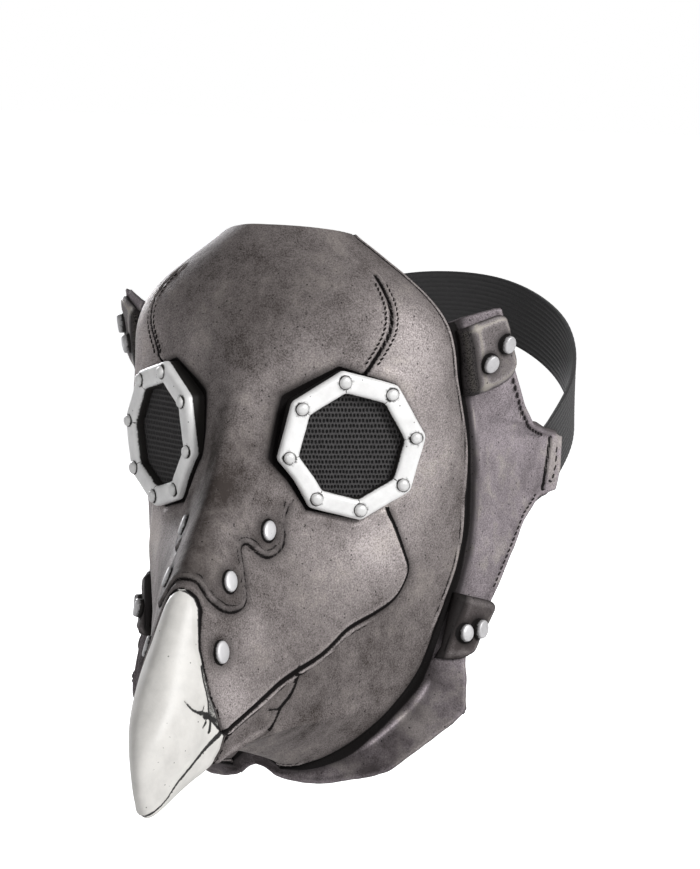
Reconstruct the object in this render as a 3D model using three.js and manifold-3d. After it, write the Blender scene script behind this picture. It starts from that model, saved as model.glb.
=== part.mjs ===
import * as THREE from 'three';
import { mergeVertices } from 'three/addons/utils/BufferGeometryUtils.js';
import ManifoldModule from 'manifold-3d';

const kernel = await ManifoldModule();
kernel.setup();
const { Manifold, Mesh: SolidMesh } = kernel;

// Bird-beaked face mask in millimetres: X to the wearer's left, Y to the back of the head, Z up.
// The origin lies midway between the centres of the two eye frames.

// Named sizes
const wall = 2.0;
const bandWall = 2.0;
const tabWall = 2.2;
const gap = 0.3;
const shellSteps = { down: 33, across: 30 };
const tuck = {
  forward: 5, depth: 2.7, shoulder: 5.5, shoulderDrop: 0.7, crown: 1.0, chinFrom: 9.6, chinTo: 10.6,
};
const eye = { x: 41.2, y: 0, z: 0, splay: 39.5, droop: 2, lean: 9, sides: 8 };
const frame = {
  radius: 30.2, face: 29.5, bevel: 22.6, aperture: 21.2, chamfer: 0.8, bevelDrop: 1.5,
  flange: 4.2, skirt: 27.6, depth: 11,
};
const screen = { radius: 27.2, thick: 0.8 };
const frameRivet = { radius: 2.6, height: 1.6, ring: 25.8 };
const beakRivet = { radius: 3.8, height: 2.0 };
const tabRivet = { radius: 3.5, height: 2.8 };
const rivetSides = 10;
const seam = { halfWidth: 0.9, depth: 0.9, proud: 0.9 };
const strap = { width: 25, thick: 1.5, steps: 14 };

// Colours of the finishes
const finish = {
  shell: { color: 0x7d7673, roughness: 0.62, metalness: 0.0 },
  band: { color: 0x7a7377, roughness: 0.68, metalness: 0.0 },
  tab: { color: 0x6f696a, roughness: 0.62, metalness: 0.0 },
  tip: { color: 0xe1ded7, roughness: 0.5, metalness: 0.0 },
  frame: { color: 0xdcdad8, roughness: 0.45, metalness: 0.25 },
  screen: { color: 0x121213, roughness: 0.8, metalness: 0.0 },
  rivet: { color: 0xcfcdca, roughness: 0.4, metalness: 0.35 },
  strap: { color: 0x151516, roughness: 0.9, metalness: 0.0 },
};

// Sections of the shell from the forehead down to the chin. Each runs from the ridge to the rear edge.
// A point between them is given by its X and by the fraction F of the way from ridge to edge.
const shellColumns = [
  'ridgeY', 'ridgeZ', 'flankX', 'flankF', 'cheekX', 'cheekF',
  'outerX', 'outerF', 'edgeX', 'edgeY', 'edgeZ', 'lift',
];
const shellRows = [
  [18, 84, 9, 0.05, 17, 0.25, 24, 0.60, 28, 34, 80, 0],
  [-2, 58, 22, 0.08, 42, 0.30, 56, 0.65, 62, 38, 52, 0],
  [-14, 34, 20, 0.12, 44, 0.38, 62, 0.68, 68, 42, 28, 0],
  [-28, 5, 12, 0.14, 36, 0.40, 61, 0.65, 69.5, 51, 3, 0],
  [-46, -25, 10, 0.12, 27, 0.40, 52, 0.66, 69, 54, -24, 0],
  [-66, -50, 9, 0.08, 26, 0.36, 50, 0.71, 67, 53, -46, 0],
  [-82, -75, 9, 0.06, 24, 0.33, 45, 0.72, 62.4, 46.6, -67.3, 0],
  [-95, -97, 9, 0.05, 20.5, 0.29, 38, 0.70, 56.8, 39.3, -88.4, 1],
  [-102, -117, 6.3, 0.055, 16, 0.27, 30, 0.64, 49.3, 31.9, -102.6, 4],
  [-92, -133.8, 4.4, 0.046, 11.8, 0.22, 25.4, 0.50, 38.3, 23.9, -115.3, 16],
  [-61.7, -113.9, 6, 0.10, 12, 0.43, 17, 0.70, 23.3, 16, -125.1, 2.7],
  [2, -119, 3, 0.10, 6, 0.40, 9, 0.70, 11, 9, -127.5, 0],
];
const lastRow = shellRows.length - 1;

// The band behind the shell: the shell row that its front edge follows, and its rear edge.
// Past the last shell row the front edge runs along the chin to the middle.
const bandColumns = ['row', 'backX', 'backY', 'backZ'];
const bandRows = [
  [1.15, 80.5, 53.8, 53],
  [1.5, 81.3, 58.3, 45.1],
  [1.9, 82.3, 65.9, 29.3],
  [2.3, 83, 76.6, 14.5],
  [2.6, 82.5, 90.2, 5.2],
  [2.85, 82, 108.1, 1.1],
  [3.05, 81.5, 123.8, -1],
  [3.45, 81.3, 122.9, -15.4],
  [3.75, 81, 118.6, -23.1],
  [3.9, 80.6, 104.6, -23.9],
  [4.1, 80, 99.9, -26.9],
  [4.4, 79, 91.7, -32.6],
  [4.75, 77.8, 86.3, -40.6],
  [5.5, 74.2, 71.7, -61.7],
  [6.2, 70.5, 58, -78.9],
  [6.5, 69.8, 53.7, -84.8],
  [7.0, 71.5, 51.3, -101.1],
  [7.3, 72, 50.4, -105.2],
  [7.7, 69, 44.6, -109.7],
  [8.3, 59, 36.3, -119.2],
  [8.9, 47, 33.4, -128.9],
  [9.3, 40, 33.9, -131.6],
  [10, 25.5, 24.9, -134.8],
  [10.5, 18, 21.8, -134.7],
  [11, 8, 14, -131.5],
  [11.5, 4, 12, -128.5],
  [12, 0, 10.5, -127],
];

// Riveted tabs that lie on the band: rows of their upper and lower edges at the front and the rear end.
const tabs = {
  upper: { frontTop: 1.3, frontLow: 2.32, backTop: 1.2, backLow: 1.88, start: 0.16, end: 1.03 },
  lower: { frontTop: 5.62, frontLow: 6.68, backTop: 5.6, backLow: 6.42, start: 0.16, end: 1.2 },
};
const tabRivets = {
  upper: [{ row: 1.82, along: 0.36 }, { row: 1.62, along: 0.81 }],
  lower: [{ row: 6.16, along: 0.46 }, { row: 6.02, along: 0.87 }],
};

// Rivets along the beak, by shell row and by place across the shell
const beakRivets = [
  { row: 4.26, across: 0.38 },
  { row: 4.98, across: 0.31 },
  { row: 6.02, across: 0.365 },
];

// Side outline of the joint between the shell and the pale beak tip, from the apex down
const tipColumns = ['y', 'z'];
const tipRows = [
  [-66.4, -51.7], [-65.4, -54], [-65.6, -58], [-67.6, -63], [-70.7, -72], [-71.5, -80.6], [-70.9, -90],
  [-66, -102], [-62.3, -105.5], [-63.3, -111], [-65.3, -114], [-66.4, -117], [-70, -126],
];
const tipReach = { front: -125, top: -42, floor: -150 };

// Seams cut into the shell, by row and by place across
const seamColumns = ['row', 'across'];
const seamRows = {
  cheek: [
    [4.02, 0.723], [4.5, 0.775], [5.1, 0.812], [5.43, 0.805], [5.73, 0.782], [6.04, 0.705],
    [6.31, 0.655], [6.65, 0.615], [7.08, 0.537], [7.54, 0.487], [7.88, 0.45], [8.24, 0.417], [8.68, 0.305],
  ],
  scallop: [
    [3.95, 0.42], [4.31, 0.443], [4.53, 0.45], [4.65, 0.427], [4.62, 0.393], [4.46, 0.338],
    [4.42, 0.312], [4.49, 0.308], [4.72, 0.338], [5, 0.37], [5.26, 0.393], [5.4, 0.387],
    [5.43, 0.347], [5.31, 0.288], [5.13, 0.22], [4.95, 0.145], [4.89, 0.065], [4.88, 0],
  ],
  brow: [[1.1, 0.53], [1.62, 0.518], [2.12, 0.483]],
  crease: [[6.61, 0.62], [6.83, 0.633], [7.05, 0.64], [7.38, 0.633], [7.69, 0.65], [8.21, 0.678]],
};

// Way of the strap from the rear end of the left tab to the middle of the back of the head
const strapColumns = ['x', 'y', 'z'];
const strapRows = [
  [76.4, 106, -15], [78.0, 117, -11], [78.4, 130, -4.5], [77, 149, 5.5], [70.5, 170, 17],
  [57.5, 190, 29], [39, 204, 38.5], [19.5, 211, 44], [0, 213, 45.5],
];

// Small helpers
const at = (columns, row, name) => row[columns.indexOf(name)];
const column = (columns, rows, name) => rows.map((row) => at(columns, row, name));
const mix = (a, b, k) => a + (b - a) * k;
const vec = (x, y, z) => new THREE.Vector3(x, y, z);
const flip = (p) => vec(-p.x, p.y, p.z);

// Smooth curve through a column of values
function naturalSpline(knots, values) {
  const count = knots.length;
  const bend = new Array(count).fill(0);
  const upper = new Array(count).fill(0);
  for (let i = 1; i < count - 1; i += 1) {
    const before = knots[i] - knots[i - 1];
    const after = knots[i + 1] - knots[i];
    const pull = 6 * ((values[i + 1] - values[i]) / after - (values[i] - values[i - 1]) / before);
    const pivot = 2 * (before + after) - before * upper[i - 1];
    upper[i] = after / pivot;
    bend[i] = (pull - before * bend[i - 1]) / pivot;
  }
  for (let i = count - 2; i > 0; i -= 1) {
    bend[i] -= upper[i] * bend[i + 1];
  }
  return (where) => {
    let i = 0;
    while (i < count - 2 && where > knots[i + 1]) {
      i += 1;
    }
    const step = knots[i + 1] - knots[i];
    const a = (knots[i + 1] - where) / step;
    const b = 1 - a;
    const curve = ((a * a * a - a) * bend[i] + (b * b * b - b) * bend[i + 1]) * step * step / 6;
    return a * values[i] + b * values[i + 1] + curve;
  };
}

// Outer surface of the shell
const rowNumbers = shellRows.map((row, i) => i);
const shellCurve = {};
for (const name of shellColumns) {
  shellCurve[name] = naturalSpline(rowNumbers, column(shellColumns, shellRows, name));
}
const acrossKnots = [-1, -0.75, -0.5, -0.25, 0, 0.25, 0.5, 0.75, 1];

function shellPoint(row, across) {
  const c = {};
  for (const name of shellColumns) {
    c[name] = shellCurve[name](row);
  }
  const half = [c.flankX, c.cheekX, c.outerX, c.edgeX];
  const part = [c.flankF, c.cheekF, c.outerF, 1];
  const xs = [...half.map((v) => -v).reverse(), 0, ...half];
  const fs = [...part.slice().reverse(), 0, ...part];
  const x = naturalSpline(acrossKnots, xs)(across);
  const f = naturalSpline(acrossKnots, fs)(across);
  const y = mix(c.ridgeY, c.edgeY, f);
  const z = mix(c.ridgeZ, c.edgeZ, f) + c.lift * 4 * f * (1 - f);
  return vec(x, y, z);
}

function shellNormal(row, across) {
  const d = 0.01;
  const low = Math.max(row - d, 0);
  const high = Math.min(row + d, lastRow);
  const left = Math.max(across - d, -1);
  const right = Math.min(across + d, 1);
  const down = shellPoint(high, across).sub(shellPoint(low, across));
  const side = shellPoint(row, right).sub(shellPoint(row, left));
  return down.cross(side).normalize();
}

const raised = (row, across, height) =>
  shellPoint(row, across).addScaledVector(shellNormal(row, across), height);

// Meshes
function geometryFrom(points, faces) {
  const geometry = new THREE.BufferGeometry();
  const numbers = points.flatMap((p) => [p.x, p.y, p.z]);
  geometry.setAttribute('position', new THREE.Float32BufferAttribute(numbers, 3));
  geometry.setIndex(faces.flat());
  return geometry;
}

function solidFrom(geometry) {
  const bare = new THREE.BufferGeometry();
  bare.setAttribute('position', geometry.getAttribute('position').clone());
  bare.setIndex(geometry.getIndex().clone());
  const merged = mergeVertices(bare, 1e-4);
  const mesh = new SolidMesh({
    numProp: 3,
    vertProperties: new Float32Array(merged.getAttribute('position').array),
    triVerts: new Uint32Array(merged.getIndex().array),
  });
  mesh.merge();
  return new Manifold(mesh);
}

function geometryOf(solid) {
  const mesh = solid.getMesh();
  const geometry = new THREE.BufferGeometry();
  geometry.setAttribute('position', new THREE.Float32BufferAttribute(Array.from(mesh.vertProperties), 3));
  geometry.setIndex(Array.from(mesh.triVerts));
  return geometry;
}

// Closed wall between an outer and an inner grid of points
function wallBetween(outer, inner) {
  const rows = outer.length;
  const cols = outer[0].length;
  const points = [...outer.flat(), ...inner.flat()];
  const out = (i, j) => i * cols + j;
  const into = (i, j) => rows * cols + i * cols + j;
  const faces = [];
  for (let i = 0; i < rows - 1; i += 1) {
    for (let j = 0; j < cols - 1; j += 1) {
      faces.push([out(i, j), out(i + 1, j), out(i, j + 1)]);
      faces.push([out(i + 1, j), out(i + 1, j + 1), out(i, j + 1)]);
      faces.push([into(i, j), into(i, j + 1), into(i + 1, j)]);
      faces.push([into(i + 1, j), into(i, j + 1), into(i + 1, j + 1)]);
    }
  }
  const rim = (a, b, c, d) => faces.push([a, b, c], [a, c, d]);
  for (let i = 0; i < rows - 1; i += 1) {
    rim(out(i + 1, 0), out(i, 0), into(i, 0), into(i + 1, 0));
    rim(out(i, cols - 1), out(i + 1, cols - 1), into(i + 1, cols - 1), into(i, cols - 1));
  }
  for (let j = 0; j < cols - 1; j += 1) {
    rim(out(0, j), out(0, j + 1), into(0, j + 1), into(0, j));
    rim(out(rows - 1, j + 1), out(rows - 1, j), into(rows - 1, j), into(rows - 1, j + 1));
  }
  return geometryFrom(points, faces);
}

// Grid of points moved along its own normals
function gridOffset(grid, depth) {
  const rows = grid.length;
  const cols = grid[0].length;
  return grid.map((line, i) => line.map((p, j) => {
    const down = grid[Math.min(i + 1, rows - 1)][j].clone().sub(grid[Math.max(i - 1, 0)][j]);
    const side = grid[i][Math.min(j + 1, cols - 1)].clone().sub(grid[i][Math.max(j - 1, 0)]);
    return p.clone().addScaledVector(down.cross(side).normalize(), depth);
  }));
}

// Ring or disc turned through flat sides from a profile of radius and height pairs
function turned(profile, sides, closed) {
  const points = [];
  const faces = [];
  const count = profile.length;
  for (let k = 0; k < sides; k += 1) {
    const angle = (k * 2 * Math.PI) / sides;
    profile.forEach(([r, h]) => points.push(vec(r * Math.cos(angle), r * Math.sin(angle), h)));
  }
  const spot = (k, i) => (k % sides) * count + (i % count);
  const last = closed ? count : count - 1;
  for (let k = 0; k < sides; k += 1) {
    for (let i = 0; i < last; i += 1) {
      faces.push([spot(k, i), spot(k + 1, i), spot(k + 1, i + 1)]);
      faces.push([spot(k, i), spot(k + 1, i + 1), spot(k, i + 1)]);
    }
  }
  if (!closed) {
    const foot = points.push(vec(0, 0, profile[0][1])) - 1;
    const head = points.push(vec(0, 0, profile[count - 1][1])) - 1;
    for (let k = 0; k < sides; k += 1) {
      faces.push([foot, spot(k + 1, 0), spot(k, 0)], [head, spot(k, count - 1), spot(k + 1, count - 1)]);
    }
  }
  return geometryFrom(points, faces);
}

function rivetGeometry({ radius, height }) {
  const dome = [[1, 0], [0.97, 0.4], [0.62, 0.86], [0.25, 1]];
  return turned(dome.map(([r, h]) => [r * radius, h * height]), rivetSides, false);
}

// Rigid placing of a piece: its own Z along the given direction
function place(mesh, point, direction) {
  mesh.position.copy(point);
  mesh.quaternion.setFromUnitVectors(vec(0, 0, 1), direction.clone().normalize());
  return mesh;
}

function meshOf(name, geometry, look) {
  const mesh = new THREE.Mesh(geometry, new THREE.MeshStandardMaterial(look));
  mesh.name = name;
  return mesh;
}

// Eye frames: the local Z axis looks out of the eye and the local Y axis points up
function eyeBasis(side) {
  const splay = THREE.MathUtils.degToRad(eye.splay);
  const droop = THREE.MathUtils.degToRad(eye.droop);
  const reach = Math.cos(droop);
  const out = vec(side * Math.sin(splay) * reach, -Math.cos(splay) * reach, -Math.sin(droop));
  const level = vec(Math.cos(splay), side * Math.sin(splay), 0);
  const up = out.clone().cross(level).normalize();
  const basis = new THREE.Matrix4().makeBasis(level, up, out);
  basis.setPosition(side * eye.x, eye.y, eye.z);
  const quarter = Math.PI / 2 + side * THREE.MathUtils.degToRad(eye.lean);
  return basis.multiply(new THREE.Matrix4().makeRotationZ(quarter));
}

function inEye(name, geometry, side, look) {
  const mesh = meshOf(name, geometry, look);
  mesh.applyMatrix4(eyeBasis(side));
  return mesh;
}

const frameProfile = [
  [frame.radius, -frame.depth], [frame.radius, -frame.chamfer], [frame.face, 0], [frame.bevel, 0],
  [frame.aperture, -frame.bevelDrop], [frame.aperture, -frame.flange], [frame.skirt, -frame.flange],
  [frame.skirt, -frame.depth],
];

// Shell and beak tip
function shellSolid() {
  const outer = [];
  const inner = [];
  for (let i = 0; i <= shellSteps.down; i += 1) {
    const row = (lastRow * i) / shellSteps.down;
    outer.push([]);
    inner.push([]);
    for (let j = 0; j <= shellSteps.across; j += 1) {
      const across = -1 + (2 * j) / shellSteps.across;
      outer[i].push(shellPoint(row, across));
      inner[i].push(raised(row, across, -wall));
    }
  }
  return solidFrom(wallBetween(outer, inner));
}

// Wedge that follows a seam, wide outside the surface and pointed below it
function seamSolid(rows, side) {
  const rings = rows.map((row) => {
    const s = at(seamColumns, row, 'row');
    const a = at(seamColumns, row, 'across') * side;
    return { point: shellPoint(s, a), normal: shellNormal(s, a) };
  });
  const points = [];
  rings.forEach(({ point, normal }, i) => {
    const next = rings[Math.min(i + 1, rings.length - 1)].point;
    const previous = rings[Math.max(i - 1, 0)].point;
    const along = next.clone().sub(previous).normalize();
    const sideways = along.cross(normal).normalize();
    const top = point.clone().addScaledVector(normal, seam.proud);
    points.push(top.clone().addScaledVector(sideways, seam.halfWidth));
    points.push(top.clone().addScaledVector(sideways, -seam.halfWidth));
    points.push(point.clone().addScaledVector(normal, -seam.depth));
  });
  const faces = [[0, 1, 2]];
  const end = points.length - 3;
  faces.push([end, end + 2, end + 1]);
  for (let i = 0; i < rings.length - 1; i += 1) {
    for (let k = 0; k < 3; k += 1) {
      const a = i * 3 + k;
      const b = i * 3 + ((k + 1) % 3);
      faces.push([a, a + 3, b], [b, a + 3, b + 3]);
    }
  }
  return solidFrom(geometryFrom(points, faces));
}

function tipCutter(shift) {
  const back = tipRows.map((row) => [at(tipColumns, row, 'y') + shift, at(tipColumns, row, 'z')]);
  const outline = [...back, [back[back.length - 1][0], tipReach.floor], [tipReach.front, tipReach.floor]];
  outline.push([tipReach.front, tipReach.top]);
  const shape = new THREE.Shape(outline.map(([y, z]) => new THREE.Vector2(y, z)));
  const prism = new THREE.ExtrudeGeometry(shape, { depth: 120, bevelEnabled: false });
  prism.applyMatrix4(new THREE.Matrix4().makeBasis(vec(0, 1, 0), vec(0, 0, 1), vec(1, 0, 0)));
  prism.translate(-60, 0, 0);
  prism.setIndex([...Array(prism.getAttribute('position').count).keys()]);
  return solidFrom(prism);
}

function eyeHole(side) {
  const reach = 16;
  const wide = frame.radius + gap / Math.cos(Math.PI / eye.sides);
  const prism = turned([[wide, -reach], [wide, reach / 2]], eye.sides, false);
  return solidFrom(prism.applyMatrix4(eyeBasis(side)));
}

const fullShell = shellSolid();
let carved = fullShell.subtract(eyeHole(1)).subtract(eyeHole(-1));
for (const rows of Object.values(seamRows)) {
  carved = carved.subtract(seamSolid(rows, 1)).subtract(seamSolid(rows, -1));
}
const faceShell = carved.subtract(tipCutter(gap / 2));
const beakTip = carved.intersect(tipCutter(-gap / 2));

// Band behind the shell
function bandSpan(row) {
  let i = 0;
  while (i < bandRows.length - 2 && row > bandRows[i + 1][0]) {
    i += 1;
  }
  const a = bandRows[i];
  const b = bandRows[i + 1];
  const k = (row - a[0]) / (b[0] - a[0]);
  const back = vec(mix(a[1], b[1], k), mix(a[2], b[2], k), mix(a[3], b[3], k));
  const shellRow = Math.min(row, lastRow);
  const across = Math.min(1, 1 + lastRow - row);
  return { front: shellPoint(shellRow, across), normal: shellNormal(shellRow, across), back };
}

function bandForward(row) {
  const d = 0.05;
  const ahead = bandSpan(Math.min(row + d, 12)).front;
  const behind = bandSpan(Math.max(row - d, 0.5)).front;
  return ahead.sub(behind).cross(bandSpan(row).normal).normalize();
}

// Point on the band between its shoulder behind the groove (0) and its rear edge (1)
function bandFace(row, along) {
  const { front, normal, back } = bandSpan(row);
  const start = tuck.shoulder / front.distanceTo(back);
  const point = front.clone().lerp(back, mix(start, 1, along));
  const hump = along < 1 ? 4 * along * (1 - along) : 0;
  return point.addScaledVector(normal, mix(-tuck.shoulderDrop, 0, Math.min(along, 1)) + tuck.crown * hump);
}

function bandLine(row) {
  const { front, normal } = bandSpan(row);
  const forward = bandForward(row);
  const chin = THREE.MathUtils.smoothstep(row, tuck.chinFrom, tuck.chinTo);
  const reach = mix(tuck.forward, -gap, chin);
  const hidden = front.clone().addScaledVector(forward, reach).addScaledVector(normal, -tuck.depth);
  const groove = front.clone().addScaledVector(forward, mix(-1, -2, chin));
  groove.addScaledVector(normal, -tuck.depth);
  return [hidden, groove, ...[0, 0.33, 0.67, 1].map((along) => bandFace(row, along))];
}

const leftLines = column(bandColumns, bandRows, 'row').map(bandLine);
leftLines[leftLines.length - 1].forEach((p) => p.setX(0));
const rightLines = leftLines.slice(0, -1).reverse().map((line) => line.map(flip));
const bandGrid = [...leftLines, ...rightLines];
const bandGeometry = wallBetween(bandGrid, gridOffset(bandGrid, -bandWall));

// Tabs on the band
function tabGrid({ frontTop, frontLow, backTop, backLow, start, end }, side) {
  const steps = 6;
  const grid = [];
  for (let i = 0; i <= steps; i += 1) {
    const line = [];
    for (let j = 0; j <= steps; j += 1) {
      const q = j / steps;
      const squeeze = 1 - 0.3 * Math.max(0, (q - 0.7) / 0.3) ** 2;
      const p = 0.5 + (i / steps - 0.5) * squeeze;
      const row = mix(mix(frontTop, backTop, q), mix(frontLow, backLow, q), p);
      line.push(bandFace(row, mix(start, end, q)));
    }
    grid.push(line);
  }
  const lifted = gridOffset(grid, gap + 0.3);
  const top = gridOffset(grid, gap + 0.3 + tabWall);
  if (side > 0) {
    return wallBetween(top, lifted);
  }
  return wallBetween(top.reverse().map((l) => l.map(flip)), lifted.reverse().map((l) => l.map(flip)));
}

function tabSpot(row, along, side) {
  const d = 0.04;
  const down = bandFace(row + d, along).sub(bandFace(row - d, along));
  const away = bandFace(row, along + d).sub(bandFace(row, along - d));
  const normal = down.cross(away).normalize();
  const point = bandFace(row, along).addScaledVector(normal, tabWall + 2 * gap + 0.35);
  return side > 0 ? { point, normal } : { point: flip(point), normal: flip(normal) };
}

// Strap round the back of the head
function strapGeometry() {
  const half = strapRows.length - 1;
  const numbers = strapRows.map((row, i) => i);
  const way = strapColumns.map((name) => column(strapColumns, strapRows, name));
  const backAgain = (values, sign) => values.slice(0, -1).reverse().map((v) => v * sign);
  const mirrored = way.map((values, k) => [...values, ...backAgain(values, k ? 1 : -1)]);
  const knots = [...numbers, ...numbers.slice(1).map((i) => i + half)];
  const curves = mirrored.map((values) => naturalSpline(knots, values));
  const spot = (u) => vec(curves[0](u), curves[1](u), curves[2](u));
  const outer = [];
  const inner = [];
  const count = strap.steps * 2;
  for (let i = 0; i <= count; i += 1) {
    const u = (2 * half * i) / count;
    const along = spot(Math.min(u + 0.05, 2 * half)).sub(spot(Math.max(u - 0.05, 0))).normalize();
    const outward = along.clone().cross(vec(0, 0, 1)).normalize();
    const up = outward.clone().cross(along).normalize();
    const centre = spot(u);
    const lines = [-0.5, 0.5].map((k) => centre.clone().addScaledVector(up, k * strap.width));
    outer.push(lines);
    inner.push(lines.map((p) => p.clone().addScaledVector(outward, -strap.thick)));
  }
  return wallBetween(outer, inner);
}

// Assembly
const mask = new THREE.Group();
mask.name = 'steampunk_beak_mask';
mask.add(meshOf('face_shell', geometryOf(faceShell), finish.shell));
mask.add(meshOf('beak_tip', geometryOf(beakTip), finish.tip));
mask.add(meshOf('rim_band', bandGeometry, finish.band));
mask.add(meshOf('head_strap', strapGeometry(), finish.strap));

for (const [hand, side] of [['l', 1], ['r', -1]]) {
  mask.add(inEye(`eye_frame_${hand}`, turned(frameProfile, eye.sides, true), side, finish.frame));
  const top = -frame.flange - gap;
  const plate = [[screen.radius, top - screen.thick], [screen.radius, top]];
  mask.add(inEye(`eye_mesh_${hand}`, turned(plate, eye.sides, false), side, finish.screen));
  for (let k = 0; k < eye.sides; k += 1) {
    const angle = (k * 2 * Math.PI) / eye.sides;
    const rivet = rivetGeometry(frameRivet);
    rivet.translate(frameRivet.ring * Math.cos(angle), frameRivet.ring * Math.sin(angle), gap);
    mask.add(inEye(`frame_rivet_${hand}${k + 1}`, rivet, side, finish.rivet));
  }
  beakRivets.forEach(({ row, across }, k) => {
    const rivet = meshOf(`beak_rivet_${hand}${k + 1}`, rivetGeometry(beakRivet), finish.rivet);
    mask.add(place(rivet, raised(row, across * side, 0.45), shellNormal(row, across * side)));
  });
  for (const [name, tab] of Object.entries(tabs)) {
    mask.add(meshOf(`${name}_tab_${hand}`, tabGrid(tab, side), finish.tab));
    tabRivets[name].forEach(({ row, along }, k) => {
      const { point, normal } = tabSpot(row, along, side);
      const rivet = meshOf(`${name}_tab_rivet_${hand}${k + 1}`, rivetGeometry(tabRivet), finish.rivet);
      mask.add(place(rivet, point, normal));
    });
  }
}

export default mask;
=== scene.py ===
import math
import bpy
import numpy as np
from mathutils import Matrix, Vector, noise
from mathutils.kdtree import KDTree


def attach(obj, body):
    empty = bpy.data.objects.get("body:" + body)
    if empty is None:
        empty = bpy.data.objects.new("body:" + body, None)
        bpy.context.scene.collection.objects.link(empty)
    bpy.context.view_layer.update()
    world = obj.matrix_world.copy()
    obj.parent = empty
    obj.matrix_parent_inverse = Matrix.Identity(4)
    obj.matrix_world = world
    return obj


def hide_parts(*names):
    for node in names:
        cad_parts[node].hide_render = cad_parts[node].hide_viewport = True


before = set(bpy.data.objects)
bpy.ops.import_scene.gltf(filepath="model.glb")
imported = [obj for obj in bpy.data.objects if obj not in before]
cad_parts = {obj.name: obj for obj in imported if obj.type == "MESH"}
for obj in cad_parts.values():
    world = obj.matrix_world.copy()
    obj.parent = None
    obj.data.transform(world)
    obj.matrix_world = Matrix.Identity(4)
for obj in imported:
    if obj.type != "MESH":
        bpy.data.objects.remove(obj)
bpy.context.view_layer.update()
mm = 0.001
rng = np.random.default_rng(11)
handSides = (("l", 1), ("r", -1))
print("frame loaded:", len(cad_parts), "nodes")


# small maths, all in millimetres

def ease(low, high, value):
    k = np.clip((np.asarray(value, float) - low) / (high - low), 0, 1)
    return k * k * (3 - 2 * k)


def window(rise, fall, value):
    return ease(*rise, value) * (1 - ease(*fall, value))


def bell(value, centre, width):
    return np.exp(-((value - centre) / width) ** 2)


def hump(value, look):
    # a bell by its amount, centre and width
    amount, centre, width = look
    return amount * bell(value, centre, width)


def fade(value, look):
    # full up to a start, then dying away: amount, start and reach
    amount, start, reach = look
    return amount * np.exp(-np.maximum(value - start, 0) / reach)


def unit(v):
    return v / (np.linalg.norm(v, axis=-1, keepdims=True) + 1e-12)


def splineBend(knots, values):
    # bend of a natural cubic spline at each of its knots
    count = len(knots)
    step = np.diff(knots)
    flat = values.reshape(count, -1)
    system = np.eye(count)
    pull = np.zeros_like(flat)
    for i in range(1, count - 1):
        system[i, i - 1:i + 2] = step[i - 1], 2 * (step[i - 1] + step[i]), step[i]
        pull[i] = 6 * ((flat[i + 1] - flat[i]) / step[i] - (flat[i] - flat[i - 1]) / step[i - 1])
    return np.linalg.solve(system, pull).reshape(values.shape)


def splineBetween(share, step, ends, bends):
    # share is 1 at the first of the two ends and 0 at the second
    rest = 1 - share
    curve = ((share ** 3 - share) * bends[0] + (rest ** 3 - rest) * bends[1]) * step * step / 6
    return share * ends[0] + rest * ends[1] + curve


def naturalSpline(knots, values):
    knots = np.asarray(knots, float)
    values = np.asarray(values, float)
    bend = splineBend(knots, values)

    def at(where):
        where = np.asarray(where, float)
        i = np.clip(np.searchsorted(knots, where) - 1, 0, len(knots) - 2)
        wide = (...,) + (None,) * (values.ndim - 1)
        step = (knots[i + 1] - knots[i])[wide]
        share = (knots[i + 1] - where)[wide] / step
        return splineBetween(share, step, (values[i], values[i + 1]), (bend[i], bend[i + 1]))

    return at


def distanceTo(points, line):
    best = np.full(len(points), np.inf)
    for a, b in zip(line[:-1], line[1:]):
        ab = b - a
        k = np.clip((points - a) @ ab / (ab @ ab + 1e-12), 0, 1)
        best = np.minimum(best, np.linalg.norm(points - a - k[:, None] * ab, axis=1))
    return best


def insideOutline(x, y, outline):
    inside = np.zeros(x.shape, bool)
    for (x0, y0), (x1, y1) in zip(outline, np.roll(outline, -1, axis=0)):
        crosses = (y0 > y) != (y1 > y)
        inside ^= crosses & (x < (x1 - x0) * (y - y0) / (y1 - y0 + 1e-12) + x0)
    return inside


def lumps(points, size, seed):
    shift = Vector((seed * 3.1, seed * 1.7, seed * 2.3))
    return np.array([noise.noise(Vector(p) / size + shift) for p in points])


def waves(points, look):
    # soft unevenness by its amount, size and seed
    amount, size, seed = look
    return amount * lumps(points, size, seed)


def foldOver(points):
    # the right half's points taken to the left half
    return np.column_stack([np.abs(points[:, 0]), points[:, 1:]])


def runAlong(line):
    # distance travelled at each point of a line
    return np.concatenate([[0], np.cumsum(np.linalg.norm(np.diff(line, axis=0), axis=1))])


def resample(line, spacing):
    line = np.asarray(line, float)
    run = runAlong(line[:, :3])
    count = max(2, int(round(run[-1] / spacing)) + 1)
    where = np.linspace(0, run[-1], count)
    return np.stack([np.interp(where, run, line[:, k]) for k in range(line.shape[1])], 1)


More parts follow.
